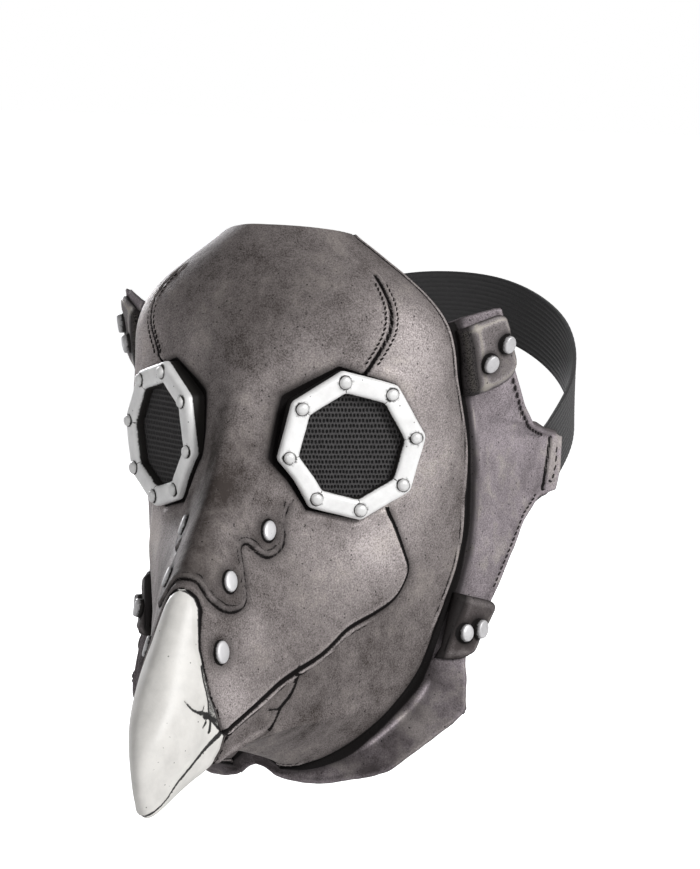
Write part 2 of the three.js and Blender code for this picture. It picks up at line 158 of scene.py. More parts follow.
# shell surface: sections from forehead to chin, each from the ridge to the rear edge
shellColumns = ["ridgeY", "ridgeZ", "flankX", "flankF", "cheekX", "cheekF",
                "outerX", "outerF", "edgeX", "edgeY", "edgeZ", "lift"]
shellRows = [
    [18, 84, 9, 0.05, 17, 0.25, 24, 0.60, 28, 34, 80, 0],
    [-2, 58, 22, 0.08, 42, 0.30, 56, 0.65, 62, 38, 52, 0],
    [-14, 34, 20, 0.12, 44, 0.38, 62, 0.68, 68, 42, 28, 0],
    [-28, 5, 12, 0.14, 36, 0.40, 61, 0.65, 69.5, 51, 3, 0],
    [-46, -25, 10, 0.12, 27, 0.40, 52, 0.66, 69, 54, -24, 0],
    [-66, -50, 9, 0.08, 26, 0.36, 50, 0.71, 67, 53, -46, 0],
    [-82, -75, 9, 0.06, 24, 0.33, 45, 0.72, 62.4, 46.6, -67.3, 0],
    [-95, -97, 9, 0.05, 20.5, 0.29, 38, 0.70, 56.8, 39.3, -88.4, 1],
    [-102, -117, 6.3, 0.055, 16, 0.27, 30, 0.64, 49.3, 31.9, -102.6, 4],
    [-92, -133.8, 4.4, 0.046, 11.8, 0.22, 25.4, 0.50, 38.3, 23.9, -115.3, 16],
    [-61.7, -113.9, 6, 0.10, 12, 0.43, 17, 0.70, 23.3, 16, -125.1, 2.7],
    [2, -119, 3, 0.10, 6, 0.40, 9, 0.70, 11, 9, -127.5, 0],
]
lastRow = len(shellRows) - 1
sectionAt = naturalSpline(np.arange(lastRow + 1), shellRows)
acrossKnots = np.linspace(-1, 1, 9)


def shellSurface(rows, across):
    # one row number per line of the grid, any number of places across
    rows = np.asarray(rows, float)
    c = dict(zip(shellColumns, sectionAt(rows).T))
    zero, one = np.zeros_like(rows), np.ones_like(rows)
    half = [c["flankX"], c["cheekX"], c["outerX"], c["edgeX"]]
    part = [c["flankF"], c["cheekF"], c["outerF"], one]
    table = np.stack([
        np.stack([-v for v in half[::-1]] + [zero] + half),
        np.stack(part[::-1] + [zero] + part)], -1)
    bend = splineBend(acrossKnots, table)
    step = acrossKnots[1] - acrossKnots[0]
    i = np.clip(((across + 1) / step).astype(int), 0, len(acrossKnots) - 2)
    r = np.arange(len(rows))[:, None]
    share = ((acrossKnots[i + 1] - across) / step)[..., None]
    xf = splineBetween(share, step, (table[i, r], table[i + 1, r]), (bend[i, r], bend[i + 1, r]))
    x, f = xf[..., 0], xf[..., 1]
    wide = {k: v[:, None] for k, v in c.items()}
    y = wide["ridgeY"] + (wide["edgeY"] - wide["ridgeY"]) * f
    z = wide["ridgeZ"] + (wide["edgeZ"] - wide["ridgeZ"]) * f + wide["lift"] * 4 * f * (1 - f)
    return np.stack([x, y, z], -1)


def shellNormals(rows, across):
    d = 0.01
    rows = np.asarray(rows, float)
    low, high = np.clip(rows - d, 0, lastRow), np.clip(rows + d, 0, lastRow)
    down = shellSurface(high, across) - shellSurface(low, across)
    left, right = np.clip(across - d, -1, 1), np.clip(across + d, -1, 1)
    return unit(np.cross(down, shellSurface(rows, right) - shellSurface(rows, left)))


def shellSpot(row, across):
    t = np.array([[across]], float)
    return shellSurface([row], t)[0, 0], shellNormals([row], t)[0, 0]


def lineOnShell(table, spacing=0.8):
    # points along a line given by row and place across, with those two numbers kept beside them
    table = np.asarray(table, float)
    where = np.linspace(0, len(table) - 1, 30 * len(table))
    smooth = naturalSpline(np.arange(len(table)), table)(where)
    points = shellSurface(smooth[:, 0], smooth[:, 1:2])[:, 0]
    packed = resample(np.hstack([points, smooth]), spacing)
    return packed[:, :3], packed[:, 3:]


# mesh makers

def gridFaces(rows, cols, start=0, flip=False):
    i, j = np.meshgrid(np.arange(rows - 1), np.arange(cols - 1), indexing="ij")
    a = (start + i * cols + j).ravel()
    quads = np.stack([a, a + cols, a + cols + 1, a + 1], 1)
    return quads[:, ::-1] if flip else quads


def gridNormals(grid):
    return unit(np.cross(np.gradient(grid, axis=0), np.gradient(grid, axis=1)))


def everyNth(grid, rowStep, columnStep):
    # coarser grid that keeps the last row and column
    pick = [np.unique(np.append(np.arange(0, count, step), count - 1))
            for count, step in zip(grid.shape, (rowStep, columnStep))]
    return grid[pick[0]][:, pick[1]]


def rimLoop(rows, cols, start=0):
    ids = start + np.arange(rows * cols).reshape(rows, cols)
    return np.concatenate([ids[0, :-1], ids[:-1, -1], ids[-1, :0:-1], ids[:0:-1, 0]])


def zipLoops(points, outer, inner):
    # closed strip between two loops that start at the same corner
    def share(loop):
        run = runAlong(points[np.append(loop, loop[0])])
        return run / run[-1]
    so, si = share(outer), share(inner)
    faces, i, j = [], 0, 0
    no, ni = len(outer), len(inner)
    while i < no or j < ni:
        if j >= ni or (i < no and so[i + 1] <= si[j + 1]):
            faces.append((outer[i % no], outer[(i + 1) % no], inner[j % ni]))
            i += 1
        else:
            faces.append((outer[i % no], inner[(j + 1) % ni], inner[j % ni]))
            j += 1
    return faces


def wallMesh(outer, inner, roll=0.0, rollDepth=1.4):
    # outer and inner point grids closed by a rim; roll swells the rim outwards
    ro, co = outer.shape[:2]
    ri, ci = inner.shape[:2]
    points = np.concatenate([outer.reshape(-1, 3), inner.reshape(-1, 3)])
    faces = [tuple(f) for f in gridFaces(ro, co)]
    faces += [tuple(f) for f in gridFaces(ri, ci, ro * co, True)]
    outerRim, innerRim = rimLoop(ro, co), rimLoop(ri, ci, ro * co)
    if roll:
        edge = points[outerRim]
        nextRow, nextColumn = (np.clip(np.arange(n), 1, n - 2) for n in (ro, co))
        away = unit(edge - outer[nextRow][:, nextColumn].reshape(-1, 3)[outerRim])
        sink = gridNormals(outer).reshape(-1, 3)[outerRim] * roll * rollDepth
        midRim = len(points) + np.arange(len(edge))
        points = np.concatenate([points, edge + away * roll - sink])
        for k in range(len(edge)):
            n = (k + 1) % len(edge)
            faces.append((midRim[n], midRim[k], outerRim[k], outerRim[n]))
        outerRim = midRim
    faces += zipLoops(points, outerRim, innerRim)
    return points, faces


def tubeFaces(rings, around, start=0, closed=False, inward=False):
    # quads from each ring of points to the next
    faces = []
    for i in range(rings if closed else rings - 1):
        a, b = start + i * around, start + (i + 1) % rings * around
        for j in range(around):
            n = (j + 1) % around
            faces.append((a + j, b + j, b + n, a + n) if inward else (a + j, a + n, b + n, b + j))
    return faces


stitchProfile = [(-0.5, 0.25), (-0.36, 0.9), (0, 1), (0.36, 0.9), (0.5, 0.25)]  # place along, thickness
stitchSides = 6


def stitchRow(line, normals, look):
    # short thread dashes lying along a line, as points and faces
    cut = resample(np.hstack([line, normals]), look["pitch"])
    turns = np.arange(stitchSides) * 2 * np.pi / stitchSides
    points, faces = [], []
    for a, b in zip(cut[:-1], cut[1:]):
        middle, along = (a[:3] + b[:3]) / 2, unit(b[:3] - a[:3])
        normal = unit(a[3:] + b[3:])
        along = unit(along + np.cross(along, normal) * look["slant"])
        side = np.cross(along, normal)
        start = len(points)
        for place, size in stitchProfile:
            for turn in turns:
                around = side * math.cos(turn) + normal * math.sin(turn)
                points.append(middle + along * place * look["length"] + around * look["radius"] * size)
        last = len(points) - 1
        faces += tubeFaces(len(stitchProfile), stitchSides, start, inward=True)
        faces.append(tuple(range(start, start + stitchSides)))
        faces.append(tuple(range(last, last - stitchSides, -1)))
    return np.array(points), faces


def stitchBothSides(line, normals, look):
    # the same row on the left and, mirrored, on the right
    parts = []
    for side in (1, -1):
        turn = np.array([side, 1, 1])
        parts.append(stitchRow(line[::side] * turn, normals[::side] * turn, look))
    return parts


def joinParts(parts):
    points, faces, start = [], [], 0
    for p, f in parts:
        points.append(p)
        faces += [tuple(int(v) + start for v in face) for face in f]
        start += len(p)
    return np.vstack(points), faces


def linkObject(name, data):
    obj = bpy.data.objects.new(name, data)
    bpy.context.scene.collection.objects.link(obj)
    return obj


def makeObject(name, points, faces, smooth=True, sharp=None):
    mesh = bpy.data.meshes.new(name)
    mesh.from_pydata((np.asarray(points) * mm).tolist(), [], [tuple(int(v) for v in f) for f in faces])
    mesh.polygons.foreach_set("use_smooth", [smooth] * len(mesh.polygons))
    if sharp:
        mesh.set_sharp_from_angle(angle=math.radians(sharp))
    return linkObject(name, mesh)


def setMasks(obj, masks):
    for name, values in masks.items():
        if name in obj.data.attributes:
            obj.data.attributes.remove(obj.data.attributes[name])
        layer = obj.data.attributes.new(name, "FLOAT", "POINT")
        layer.data.foreach_set("value", np.asarray(values, np.float32))


def copyMasks(obj, points, masks):
    # each vertex takes the masks of the nearest of the given points
    tree = KDTree(len(points))
    for k, p in enumerate(points):
        tree.insert(Vector(p) * mm, k)
    tree.balance()
    nearest = [tree.find(v.co)[1] for v in obj.data.vertices]
    setMasks(obj, {name: np.asarray(values)[nearest] for name, values in masks.items()})


noLine = 9.0  # far from any painted line


def plainPaint(shade_grime, rub_highlight=0.3, inside=0.0):
    return {"shade_grime": shade_grime, "rub_highlight": rub_highlight, "line": noLine, "inside": inside}


liningPaint = plainPaint(0.0, inside=1.0)


def spreadMasks(masks, *runs):
    # masks of the outer points, then runs of further points with one plain paint each
    return {name: np.concatenate([values] + [np.full(count, paint[name]) for count, paint in runs])
            for name, values in masks.items()}


class Relief:
    # height, dry-brushed tone with painted highlights, grime with painted shade and distance to the nearest
    # painted line, at each point
    def __init__(self, count, rub_highlight=0.0):
        self.height = np.zeros(count)
        self.rub_highlight = np.full(count, rub_highlight)
        self.shade_grime = np.zeros(count)
        self.line = np.full(count, noLine)

    # darkens the paint, for grime and for painted shade
    def darken(self, amount):
        self.shade_grime = np.maximum(self.shade_grime, amount)

    def draw(self, gap, where=True):
        self.line = np.minimum(self.line, np.where(where, gap, noLine))

    def masks(self, mostRubHighlight=1.0):
        return {"shade_grime": np.clip(self.shade_grime, 0, 1), "rub_highlight": np.clip(self.rub_highlight, 0, mostRubHighlight),
                "line": np.clip(self.line, -3, noLine), "inside": np.zeros(len(self.line))}


def bake(obj):
    graph = bpy.context.evaluated_depsgraph_get()
    fresh = bpy.data.meshes.new_from_object(obj.evaluated_get(graph))
    old = obj.data
    obj.modifiers.clear()
    obj.data = fresh
    bpy.data.meshes.remove(old)


def cutWith(obj, cutter):
    step = obj.modifiers.new("cut", "BOOLEAN")
    step.operation = "DIFFERENCE"
    step.solver = "MANIFOLD"
    step.object = cutter
    bake(obj)
    bpy.data.objects.remove(cutter)


# shader helpers

def addNode(tree, kind, inputs=None, **settings):
    node = tree.nodes.new(kind)
    for key, value in settings.items():
        setattr(node, key, value)
    for key, value in (inputs or {}).items():
        if isinstance(value, bpy.types.NodeSocket):
            tree.links.new(value, node.inputs[key])
        else:
            node.inputs[key].default_value = value
    return node


def newGroup(name, inputs, outputs):
    tree = bpy.data.node_groups.new(name, "ShaderNodeTree")
    kinds = {"f": "NodeSocketFloat", "c": "NodeSocketColor", "v": "NodeSocketVector"}
    for label, kind in inputs:
        tree.interface.new_socket(name=label, in_out="INPUT", socket_type=kinds[kind])
    for label, kind in outputs:
        tree.interface.new_socket(name=label, in_out="OUTPUT", socket_type=kinds[kind])
    return tree, tree.nodes.new("NodeGroupInput").outputs, tree.nodes.new("NodeGroupOutput").inputs


def mathNode(tree, operation, a, b, clamp=False):
    return addNode(tree, "ShaderNodeMath", {0: a, 1: b}, operation=operation, use_clamp=clamp).outputs[0]


def plus(tree, a, b, clamp=False):
    return mathNode(tree, "ADD", a, b, clamp)


def minus(tree, a, b):
    return mathNode(tree, "SUBTRACT", a, b)


def times(tree, a, b, clamp=False):
    return mathNode(tree, "MULTIPLY", a, b, clamp)


def larger(tree, a, b):
    return mathNode(tree, "MAXIMUM", a, b)


def mixColour(tree, share, a, b, blend="MIX"):
    node = addNode(tree, "ShaderNodeMix", data_type="RGBA", blend_type=blend)
    for socket, value in ((node.inputs[0], share), (node.inputs[6], a), (node.inputs[7], b)):
        if isinstance(value, bpy.types.NodeSocket):
            tree.links.new(value, socket)
        else:
            socket.default_value = value
    return node.outputs[2]


def ramp(tree, value, stops):
    node = addNode(tree, "ShaderNodeValToRGB", {"Fac": value})
    marks = node.color_ramp.elements
    while len(marks) < len(stops):
        marks.new(0.5)
    for mark, (place, shade) in zip(marks, stops):
        mark.position = place
        mark.color = (shade, shade, shade, 1)
    return node.outputs["Color"]


def stretch(tree, value, low, high):
    # value between low and high taken to 0..1, softly
    node = addNode(tree, "ShaderNodeMapRange", {"Value": value, "From Min": low, "From Max": high},
                   interpolation_type="SMOOTHSTEP")
    return node.outputs["Result"]


def noiseOf(tree, place, scale, detail, rough):
    node = addNode(tree, "ShaderNodeTexNoise",
                   {"Vector": place, "Scale": scale, "Detail": detail, "Roughness": rough})
    return node.outputs["Fac"]


def dotsOf(tree, place, scale, share, size):
    # round dots in some of the cells
    cells = addNode(tree, "ShaderNodeTexVoronoi", {"Vector": place, "Scale": scale, "Randomness": 1.0})
    pick = addNode(tree, "ShaderNodeSeparateColor", {"Color": cells.outputs["Color"]}).outputs[0]
    return times(tree, stretch(tree, pick, *share), stretch(tree, cells.outputs["Distance"], *size))


# noises by scale, detail and roughness; dots by scale, share of the cells and size
grainSet = {"fine": (1700.0, 2.0, 0.6), "broad": (38.0, 4.0, 0.55), "cloud": (170.0, 4.0, 0.65),
            "pins": (420.0, (0.72, 0.78), (0.2, 0.1)), "pinDepth": 0.9, "broadShare": 0.55,
            "cloudShare": 0.45}


def grainGroup():
    # pebbled latex skin: fine grain, pin holes and soft clouds of tone
    tree, get, put = newGroup("latexGrain", [("Place", "v")],
                              [("Height", "f"), ("Mottle", "f"), ("Speck", "f"), ("Pin", "f")])
    fine, broad, cloud = (noiseOf(tree, get["Place"], *grainSet[k]) for k in ("fine", "broad", "cloud"))
    pin = dotsOf(tree, get["Place"], *grainSet["pins"])
    mottle = plus(tree, times(tree, broad, grainSet["broadShare"]),
                  times(tree, cloud, grainSet["cloudShare"]))
    tree.links.new(minus(tree, fine, times(tree, pin, grainSet["pinDepth"])), put["Height"])
    tree.links.new(mottle, put["Mottle"])
    tree.links.new(fine, put["Speck"])
    tree.links.new(pin, put["Pin"])
    return tree


rubSet = {"wander": 0.95, "sprayLeast": 0.15, "sprayMore": 2.4, "warmRub": (0.75, 1.1),
          "warmMottle": (0.5, 0.62), "warmShare": 0.7, "shadeGrimeRagged": 0.4, "shadeGrimeSoft": (0.0, 0.35),
          "lineRagged": 0.45, "lineEdge": (0.32, -0.12), "pinShade": 0.75, "roughBare": 0.66,
          "smoothBrushed": 0.24}


def rubbedGroup():
    # dark paint with pale colour dry-brushed over it and painted highlights, grime and painted shade in the
    # recesses and dark painted lines
    tree, get, put = newGroup(
        "rubbedPaint",
        [("Base", "c"), ("Pale", "c"), ("Warm", "c"), ("Dark", "c"), ("Shade_grime", "f"), ("Rub_highlight", "f"),
         ("Line", "f"), ("Mottle", "f"), ("Speck", "f"), ("Pin", "f")],
        [("Color", "c"), ("Roughness", "f")])
    wander = times(tree, minus(tree, get["Mottle"], 0.5), rubSet["wander"])
    reach = plus(tree, rubSet["sprayLeast"], times(tree, get["Rub_highlight"], rubSet["sprayMore"]))
    spray = times(tree, minus(tree, get["Speck"], 0.5), reach)
    ragged = plus(tree, wander, spray)
    # pale share: dry-brushed tone and painted highlights
    brushedHighlight = plus(tree, plus(tree, get["Rub_highlight"], wander), spray, True)
    warmth = larger(tree, stretch(tree, get["Rub_highlight"], *rubSet["warmRub"]),
                    times(tree, stretch(tree, get["Mottle"], *rubSet["warmMottle"]), rubSet["warmShare"]))
    paint = mixColour(tree, brushedHighlight, get["Base"], mixColour(tree, warmth, get["Pale"], get["Warm"]))
    edge = plus(tree, get["Shade_grime"], times(tree, ragged, rubSet["shadeGrimeRagged"]))
    soft = times(tree, edge, stretch(tree, get["Shade_grime"], *rubSet["shadeGrimeSoft"]), True)
    # grime and painted shade darken the paint
    dirtyShaded = mixColour(tree, soft, paint, get["Dark"])
    drawn = plus(tree, get["Line"], times(tree, ragged, rubSet["lineRagged"]))
    lined = mixColour(tree, stretch(tree, drawn, *rubSet["lineEdge"]), dirtyShaded, get["Dark"])
    pinned = mixColour(tree, times(tree, get["Pin"], rubSet["pinShade"]), lined, get["Dark"])
    tree.links.new(pinned, put["Color"])
    rough = minus(tree, rubSet["roughBare"], times(tree, brushedHighlight, rubSet["smoothBrushed"]))
    tree.links.new(rough, put["Roughness"])
    return tree


chipSet = {"smear": (120.0, 5.0, 0.62), "chip": (900.0, 3.0, 0.6), "smearTone": [(0.3, 0.84), (0.62, 1.0)],
           "specks": (0.79, 0.85), "ragged": 0.9, "wornShade": (0.25, 0.8), "lineEdge": (0.28, -0.1),
           "dots": (430.0, (0.86, 0.88), (0.17, 0.08)), "speckShade": 0.8, "roughLeast": 0.3,
           "roughSmear": 0.26, "roughDark": 0.2, "darkDepth": 0.35}


def chippedGroup():
    # smudged, specked paint over a dark ground that shows in the recesses, the lines and the painted shade
    tree, get, put = newGroup("chippedPaint",
                              [("Place", "v"), ("Paint", "c"), ("Under", "c"), ("Shade_grime", "f"), ("Line", "f")],
                              [("Color", "c"), ("Roughness", "f"), ("Height", "f")])
    smear, chip = (noiseOf(tree, get["Place"], *chipSet[k]) for k in ("smear", "chip"))
    paint = mixColour(tree, 1.0, get["Paint"], ramp(tree, smear, chipSet["smearTone"]), "MULTIPLY")
    ragged = times(tree, minus(tree, chip, 0.5), chipSet["ragged"])
    # dark ground where worn and where painted shade falls
    wornShade = stretch(tree, plus(tree, get["Shade_grime"], ragged), *chipSet["wornShade"])
    lined = stretch(tree, plus(tree, get["Line"], ragged), *chipSet["lineEdge"])
    specks = larger(tree, stretch(tree, times(tree, chip, plus(tree, smear, 0.5)), *chipSet["specks"]),
                    dotsOf(tree, get["Place"], *chipSet["dots"]))
    dark = larger(tree, larger(tree, wornShade, lined), times(tree, specks, chipSet["speckShade"]))
    rough = plus(tree, plus(tree, chipSet["roughLeast"], times(tree, smear, chipSet["roughSmear"])),
                 times(tree, dark, chipSet["roughDark"]))
    tree.links.new(mixColour(tree, dark, paint, get["Under"]), put["Color"])
    tree.links.new(rough, put["Roughness"])
    tree.links.new(minus(tree, smear, times(tree, dark, chipSet["darkDepth"])), put["Height"])
    return tree


latexGrain = grainGroup()
rubbedPaint = rubbedGroup()
chippedPaint = chippedGroup()


def startMaterial(name):
    material = bpy.data.materials.new(name)
    material.use_nodes = True
    tree = material.node_tree
    place = addNode(tree, "ShaderNodeTexCoord").outputs["Object"]
    return material, tree, tree.nodes["Principled BSDF"], place


def maskOf(tree, name):
    return addNode(tree, "ShaderNodeAttribute", attribute_name=name).outputs["Fac"]


def bumpOf(tree, height, strength, distance):
    node = addNode(tree, "ShaderNodeBump", {"Height": height, "Strength": strength, "Distance": distance})
    return node.outputs["Normal"]


def latexMaterial(name, look):
    material, tree, shader, place = startMaterial(name)
    grain = addNode(tree, "ShaderNodeGroup", node_tree=latexGrain)
    tree.links.new(place, grain.inputs["Place"])
    paint = addNode(tree, "ShaderNodeGroup", node_tree=rubbedPaint)
    for key in ("base", "pale", "warm", "dark"):
        paint.inputs[key.capitalize()].default_value = look[key] + (1,)
    for key in ("Shade_grime", "Rub_highlight", "Line"):
        tree.links.new(maskOf(tree, key.lower()), paint.inputs[key])
    for key in ("Mottle", "Speck", "Pin"):
        tree.links.new(grain.outputs[key], paint.inputs[key])
    colour = mixColour(tree, maskOf(tree, "inside"), paint.outputs["Color"], look["lining"] + (1,))
    tree.links.new(colour, shader.inputs["Base Color"])
    tree.links.new(paint.outputs["Roughness"], shader.inputs["Roughness"])
    tree.links.new(bumpOf(tree, grain.outputs["Height"], look["bump"], 0.35 * mm), shader.inputs["Normal"])
    shader.inputs["Metallic"].default_value = look["metal"]
    shader.inputs["Specular IOR Level"].default_value = look["shine"]
    return material


shellLatex = latexMaterial("shellLatex", {
    "base": (0.045, 0.037, 0.034), "pale": (0.516, 0.464, 0.459), "warm": (0.529, 0.477, 0.449),
    "dark": (0.006, 0.005, 0.005), "lining": (0.055, 0.048, 0.045),
    "bump": 0.45, "metal": 0.2, "shine": 0.06})
bandLatex = latexMaterial("bandLatex", {
    "base": (0.050, 0.042, 0.043), "pale": (0.480, 0.423, 0.454), "warm": (0.520, 0.476, 0.442),
    "dark": (0.006, 0.005, 0.005), "lining": (0.055, 0.048, 0.046),
    "bump": 0.5, "metal": 0.05, "shine": 0.08})
tabLatex = latexMaterial("tabLatex", {
    "base": (0.050, 0.042, 0.041), "pale": (0.320, 0.290, 0.292), "warm": (0.340, 0.312, 0.282),
    "dark": (0.006, 0.005, 0.005), "lining": (0.055, 0.048, 0.046),
    "bump": 0.45, "metal": 0.1, "shine": 0.1})


def paintMaterial(name, look):
    material, tree, shader, place = startMaterial(name)
    paint = addNode(tree, "ShaderNodeGroup", node_tree=chippedPaint)
    tree.links.new(place, paint.inputs["Place"])
    for key in ("Shade_grime", "Line"):
        tree.links.new(maskOf(tree, key.lower()), paint.inputs[key])
    for key in ("paint", "under"):
        paint.inputs[key.capitalize()].default_value = look[key] + (1,)
    tree.links.new(paint.outputs["Color"], shader.inputs["Base Color"])
    tree.links.new(paint.outputs["Roughness"], shader.inputs["Roughness"])
    tree.links.new(bumpOf(tree, paint.outputs["Height"], look["bump"], 0.5 * mm), shader.inputs["Normal"])
    shader.inputs["Metallic"].default_value = look["metal"]
    return material


frameSilver = paintMaterial("frameSilver", {
    "paint": (0.87, 0.865, 0.86), "under": (0.010, 0.008, 0.007), "metal": 0.1, "bump": 0.4})
rivetSilver = paintMaterial("rivetSilver", {
    "paint": (0.78, 0.775, 0.77), "under": (0.010, 0.008, 0.007), "metal": 0.3, "bump": 0.2})
rivetGrey = paintMaterial("rivetGrey", {
    "paint": (0.58, 0.572, 0.582), "under": (0.010, 0.008, 0.007), "metal": 0.3, "bump": 0.2})
tipIvory = paintMaterial("tipIvory", {
    "paint": (0.68, 0.663, 0.634), "under": (0.010, 0.009, 0.009), "metal": 0.0, "bump": 0.3})

clothSet = {"threadShade": [(0.3, 0.5), (0.7, 1.3)], "pitShade": (0.001, 0.001, 0.001, 1), "roughLeast": 0.6,
            "roughThread": 0.3, "bump": 0.6}


def clothMaterial(name, look):
    material, tree, shader, place = startMaterial(name)
    thread = noiseOf(tree, place, look["scale"], 4.0, 0.7)
    shade = ramp(tree, thread, clothSet["threadShade"])
    woven = mixColour(tree, 1.0, look["colour"] + (1,), shade, "MULTIPLY")
    # painted shade: black in the closed pits of the eye mesh
    colour = mixColour(tree, maskOf(tree, "shade_grime"), woven, clothSet["pitShade"])
    rough = plus(tree, clothSet["roughLeast"], times(tree, thread, clothSet["roughThread"]))
    tree.links.new(colour, shader.inputs["Base Color"])
    tree.links.new(rough, shader.inputs["Roughness"])
    tree.links.new(bumpOf(tree, thread, clothSet["bump"], 0.3 * mm), shader.inputs["Normal"])
    shader.inputs["Sheen Weight"].default_value = look["sheen"]
    return material


meshBlack = clothMaterial("meshBlack", {"colour": (0.048, 0.045, 0.046), "scale": 2600.0, "sheen": 0.0})
strapElastic = clothMaterial("strapElastic", {"colour": (0.022, 0.021, 0.022), "scale": 1400.0, "sheen": 0.2})


def finishPiece(obj, material, nodes):
    obj.data.materials.clear()
    obj.data.materials.append(material)
    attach(obj, "root")
    if nodes:
        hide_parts(*nodes)


print("materials ready")

# eye frames: where they sit and how they turn
eyeSet = {"x": 41.2, "splay": 39.5, "droop": 2.0, "lean": 9.0, "sides": 8, "radius": 30.2, "cornerRound": 1.5,
          "rivetRing": 25.8, "squash": 0.94, "drawIn": 0.09, "drawInBelow": (2, 16), "holeInset": 0.15,
          "holeReach": (-16, 8)}


def eyeAxes(side):
    splay, droop = math.radians(eyeSet["splay"]), math.radians(eyeSet["droop"])
    level = np.array([math.cos(splay), side * math.sin(splay), 0])
    ahead = np.array([side * math.sin(splay), -math.cos(splay), 0])
    out = ahead * math.cos(droop) - np.array([0, 0, math.sin(droop)])
    return np.array([side * eyeSet["x"], 0, 0]), level, unit(np.cross(out, level)), out


def eyeShrink(x, y, side):
    # the lower half is drawn in by the nose
    return 1 - eyeSet["drawIn"] * ease(*eyeSet["drawInBelow"], -y) * (x * side < 0)


def inEye(local, side):
    # local x across, y up, z out of the eye; the lower half is squashed
    centre, level, up, out = eyeAxes(side)
    local = np.array(local, float)
    local[..., 0] *= eyeShrink(local[..., 0], local[..., 1], side)
    local[..., 1] *= np.where(local[..., 1] < 0, eyeSet["squash"], 1)
    return centre + local[..., :1] * level + local[..., 1:2] * up + local[..., 2:3] * out


def cornerAngles(side):
    return np.radians(90 + side * eyeSet["lean"] + 360 / eyeSet["sides"] * np.arange(eyeSet["sides"]))


def octagonLoop(radius, rounding, side, perSide=9):
    # octagon with rounded corners and evenly split sides
    corners = np.stack([np.cos(cornerAngles(side)), np.sin(cornerAngles(side))], 1) * radius
    loop = []
    for k in range(len(corners)):
        here, before, after = corners[k], corners[k - 1], corners[(k + 1) % len(corners)]
        a = here + unit(before - here) * rounding
        b = here + unit(after - here) * rounding
        for q in np.linspace(0, 1, 5):
            loop.append((1 - q) ** 2 * a + 2 * q * (1 - q) * here + q * q * b)
        nextStart = after + unit(here - after) * rounding
        for q in np.linspace(0, 1, perSide + 2)[1:-1]:
            loop.append(b + (nextStart - b) * q)
    return np.array(loop)


def octagonGap(points, side):
    # distance outside the frame's side walls, height over its front face, and place round it
    centre, level, up, out = eyeAxes(side)
    rel = points - centre
    x, y, z = rel @ level, rel @ up, rel @ out
    y = y / np.where(y < 0, eyeSet["squash"], 1)
    x = x / eyeShrink(x, y, side)
    halfSide = math.pi / eyeSet["sides"]
    angles = cornerAngles(side) + halfSide
    reach = np.max([x * math.cos(q) + y * math.sin(q) for q in angles], axis=0)
    return reach - eyeSet["radius"] * math.cos(halfSide), z, x, y


# rivets: profile of radius, height and painted shade, dark at the foot, as shares of the rivet's size
rivetSet = {"sides": 32, "sizeSpread": 0.03, "ovalSpread": 0.035, "ovalTurn": 6, "upright": [0.3, 0.2, 0.93]}
rivetShapes = {
    "frame": {
        "radius": 2.35, "height": 1.7, "wide": 1.0, "tall": 1.0, "wear": 0.0, "paint": rivetSilver,
        "profile": [(1.12, -0.25, 1.0), (1.1, 0.02, 1.0), (1.02, 0.05, 0.9), (1.0, 0.26, 0.45),
                    (0.94, 0.5, 0.1), (0.8, 0.76, 0.0), (0.56, 0.93, 0.0), (0.28, 1.0, 0.0)]},
    "beak": {
        "radius": 3.6, "height": 1.7, "wide": 0.83, "tall": 1.14, "wear": 0.14, "paint": rivetGrey,
        "profile": [(1.06, -0.5, 1.0), (1.05, -0.1, 1.0), (1.02, 0.1, 0.9), (1.0, 0.35, 0.55),
                    (0.985, 0.66, 0.25), (0.93, 0.84, 0.05), (0.8, 0.92, 0.0), (0.5, 0.97, 0.0),
                    (0.25, 0.98, 0.0)]},
    "tab": {
        "radius": 3.4, "height": 2.7, "wide": 0.85, "tall": 1.06, "wear": 0.24, "paint": rivetGrey,
        "profile": [(1.08, -0.3, 1.0), (1.06, 0.1, 1.0), (1.02, 0.2, 0.85), (1.0, 0.5, 0.45),
                    (0.985, 0.76, 0.2), (0.93, 0.9, 0.05), (0.8, 0.96, 0.0), (0.5, 0.99, 0.0),
                    (0.25, 1.0, 0.0)]},
}


def rivetAxes(axis):
    across = unit(np.cross(axis, rivetSet["upright"]))
    return across, np.cross(axis, across)


# seams on the shell, by row and by place across
seamLines = {
    "cheek": [[3.9, 0.715], [4.02, 0.723], [4.2, 0.748], [4.52, 0.775], [4.84, 0.797], [5.11, 0.812],
              [5.43, 0.805],
              [5.65, 0.782], [5.84, 0.735], [6.02, 0.692], [6.34, 0.662], [6.56, 0.62], [6.8, 0.578],
              [7.17, 0.54], [7.53, 0.492], [7.88, 0.45], [8.24, 0.418], [8.48, 0.363], [8.68, 0.305]],
    "scallop": [[3.75, 0.425], [4.08, 0.423], [4.31, 0.443], [4.53, 0.45], [4.65, 0.427], [4.62, 0.393],
                [4.46, 0.338], [4.42, 0.312], [4.49, 0.306], [4.72, 0.338], [5.0, 0.37], [5.26, 0.393],
                [5.4, 0.387], [5.43, 0.347], [5.31, 0.288], [5.13, 0.22], [4.95, 0.145], [4.89, 0.065],
                [4.88, 0.0]],
    "brow": [[0.6, 0.628], [1.1, 0.595], [1.45, 0.566], [1.61, 0.548], [1.78, 0.529], [2.02, 0.504],
             [2.2, 0.487]],
    "crease": [[6.42, 0.6], [6.6, 0.62], [6.82, 0.632], [7.03, 0.638], [7.2, 0.635], [7.37, 0.632],
               [7.65, 0.645],
               [8.0, 0.662], [8.18, 0.675]],
    "creaseFork": [[7.36, 0.631], [7.35, 0.612], [7.3, 0.592]],
    "billLow": [[8.18, 0.675], [8.3, 0.665], [8.41, 0.652], [8.57, 0.645], [8.65, 0.628], [8.67, 0.605],
                [8.76, 0.588], [8.78, 0.562], [8.71, 0.54]],
}
beakRivetSpots = [(4.26, 0.38), (4.98, 0.31), (6.02, 0.365)]
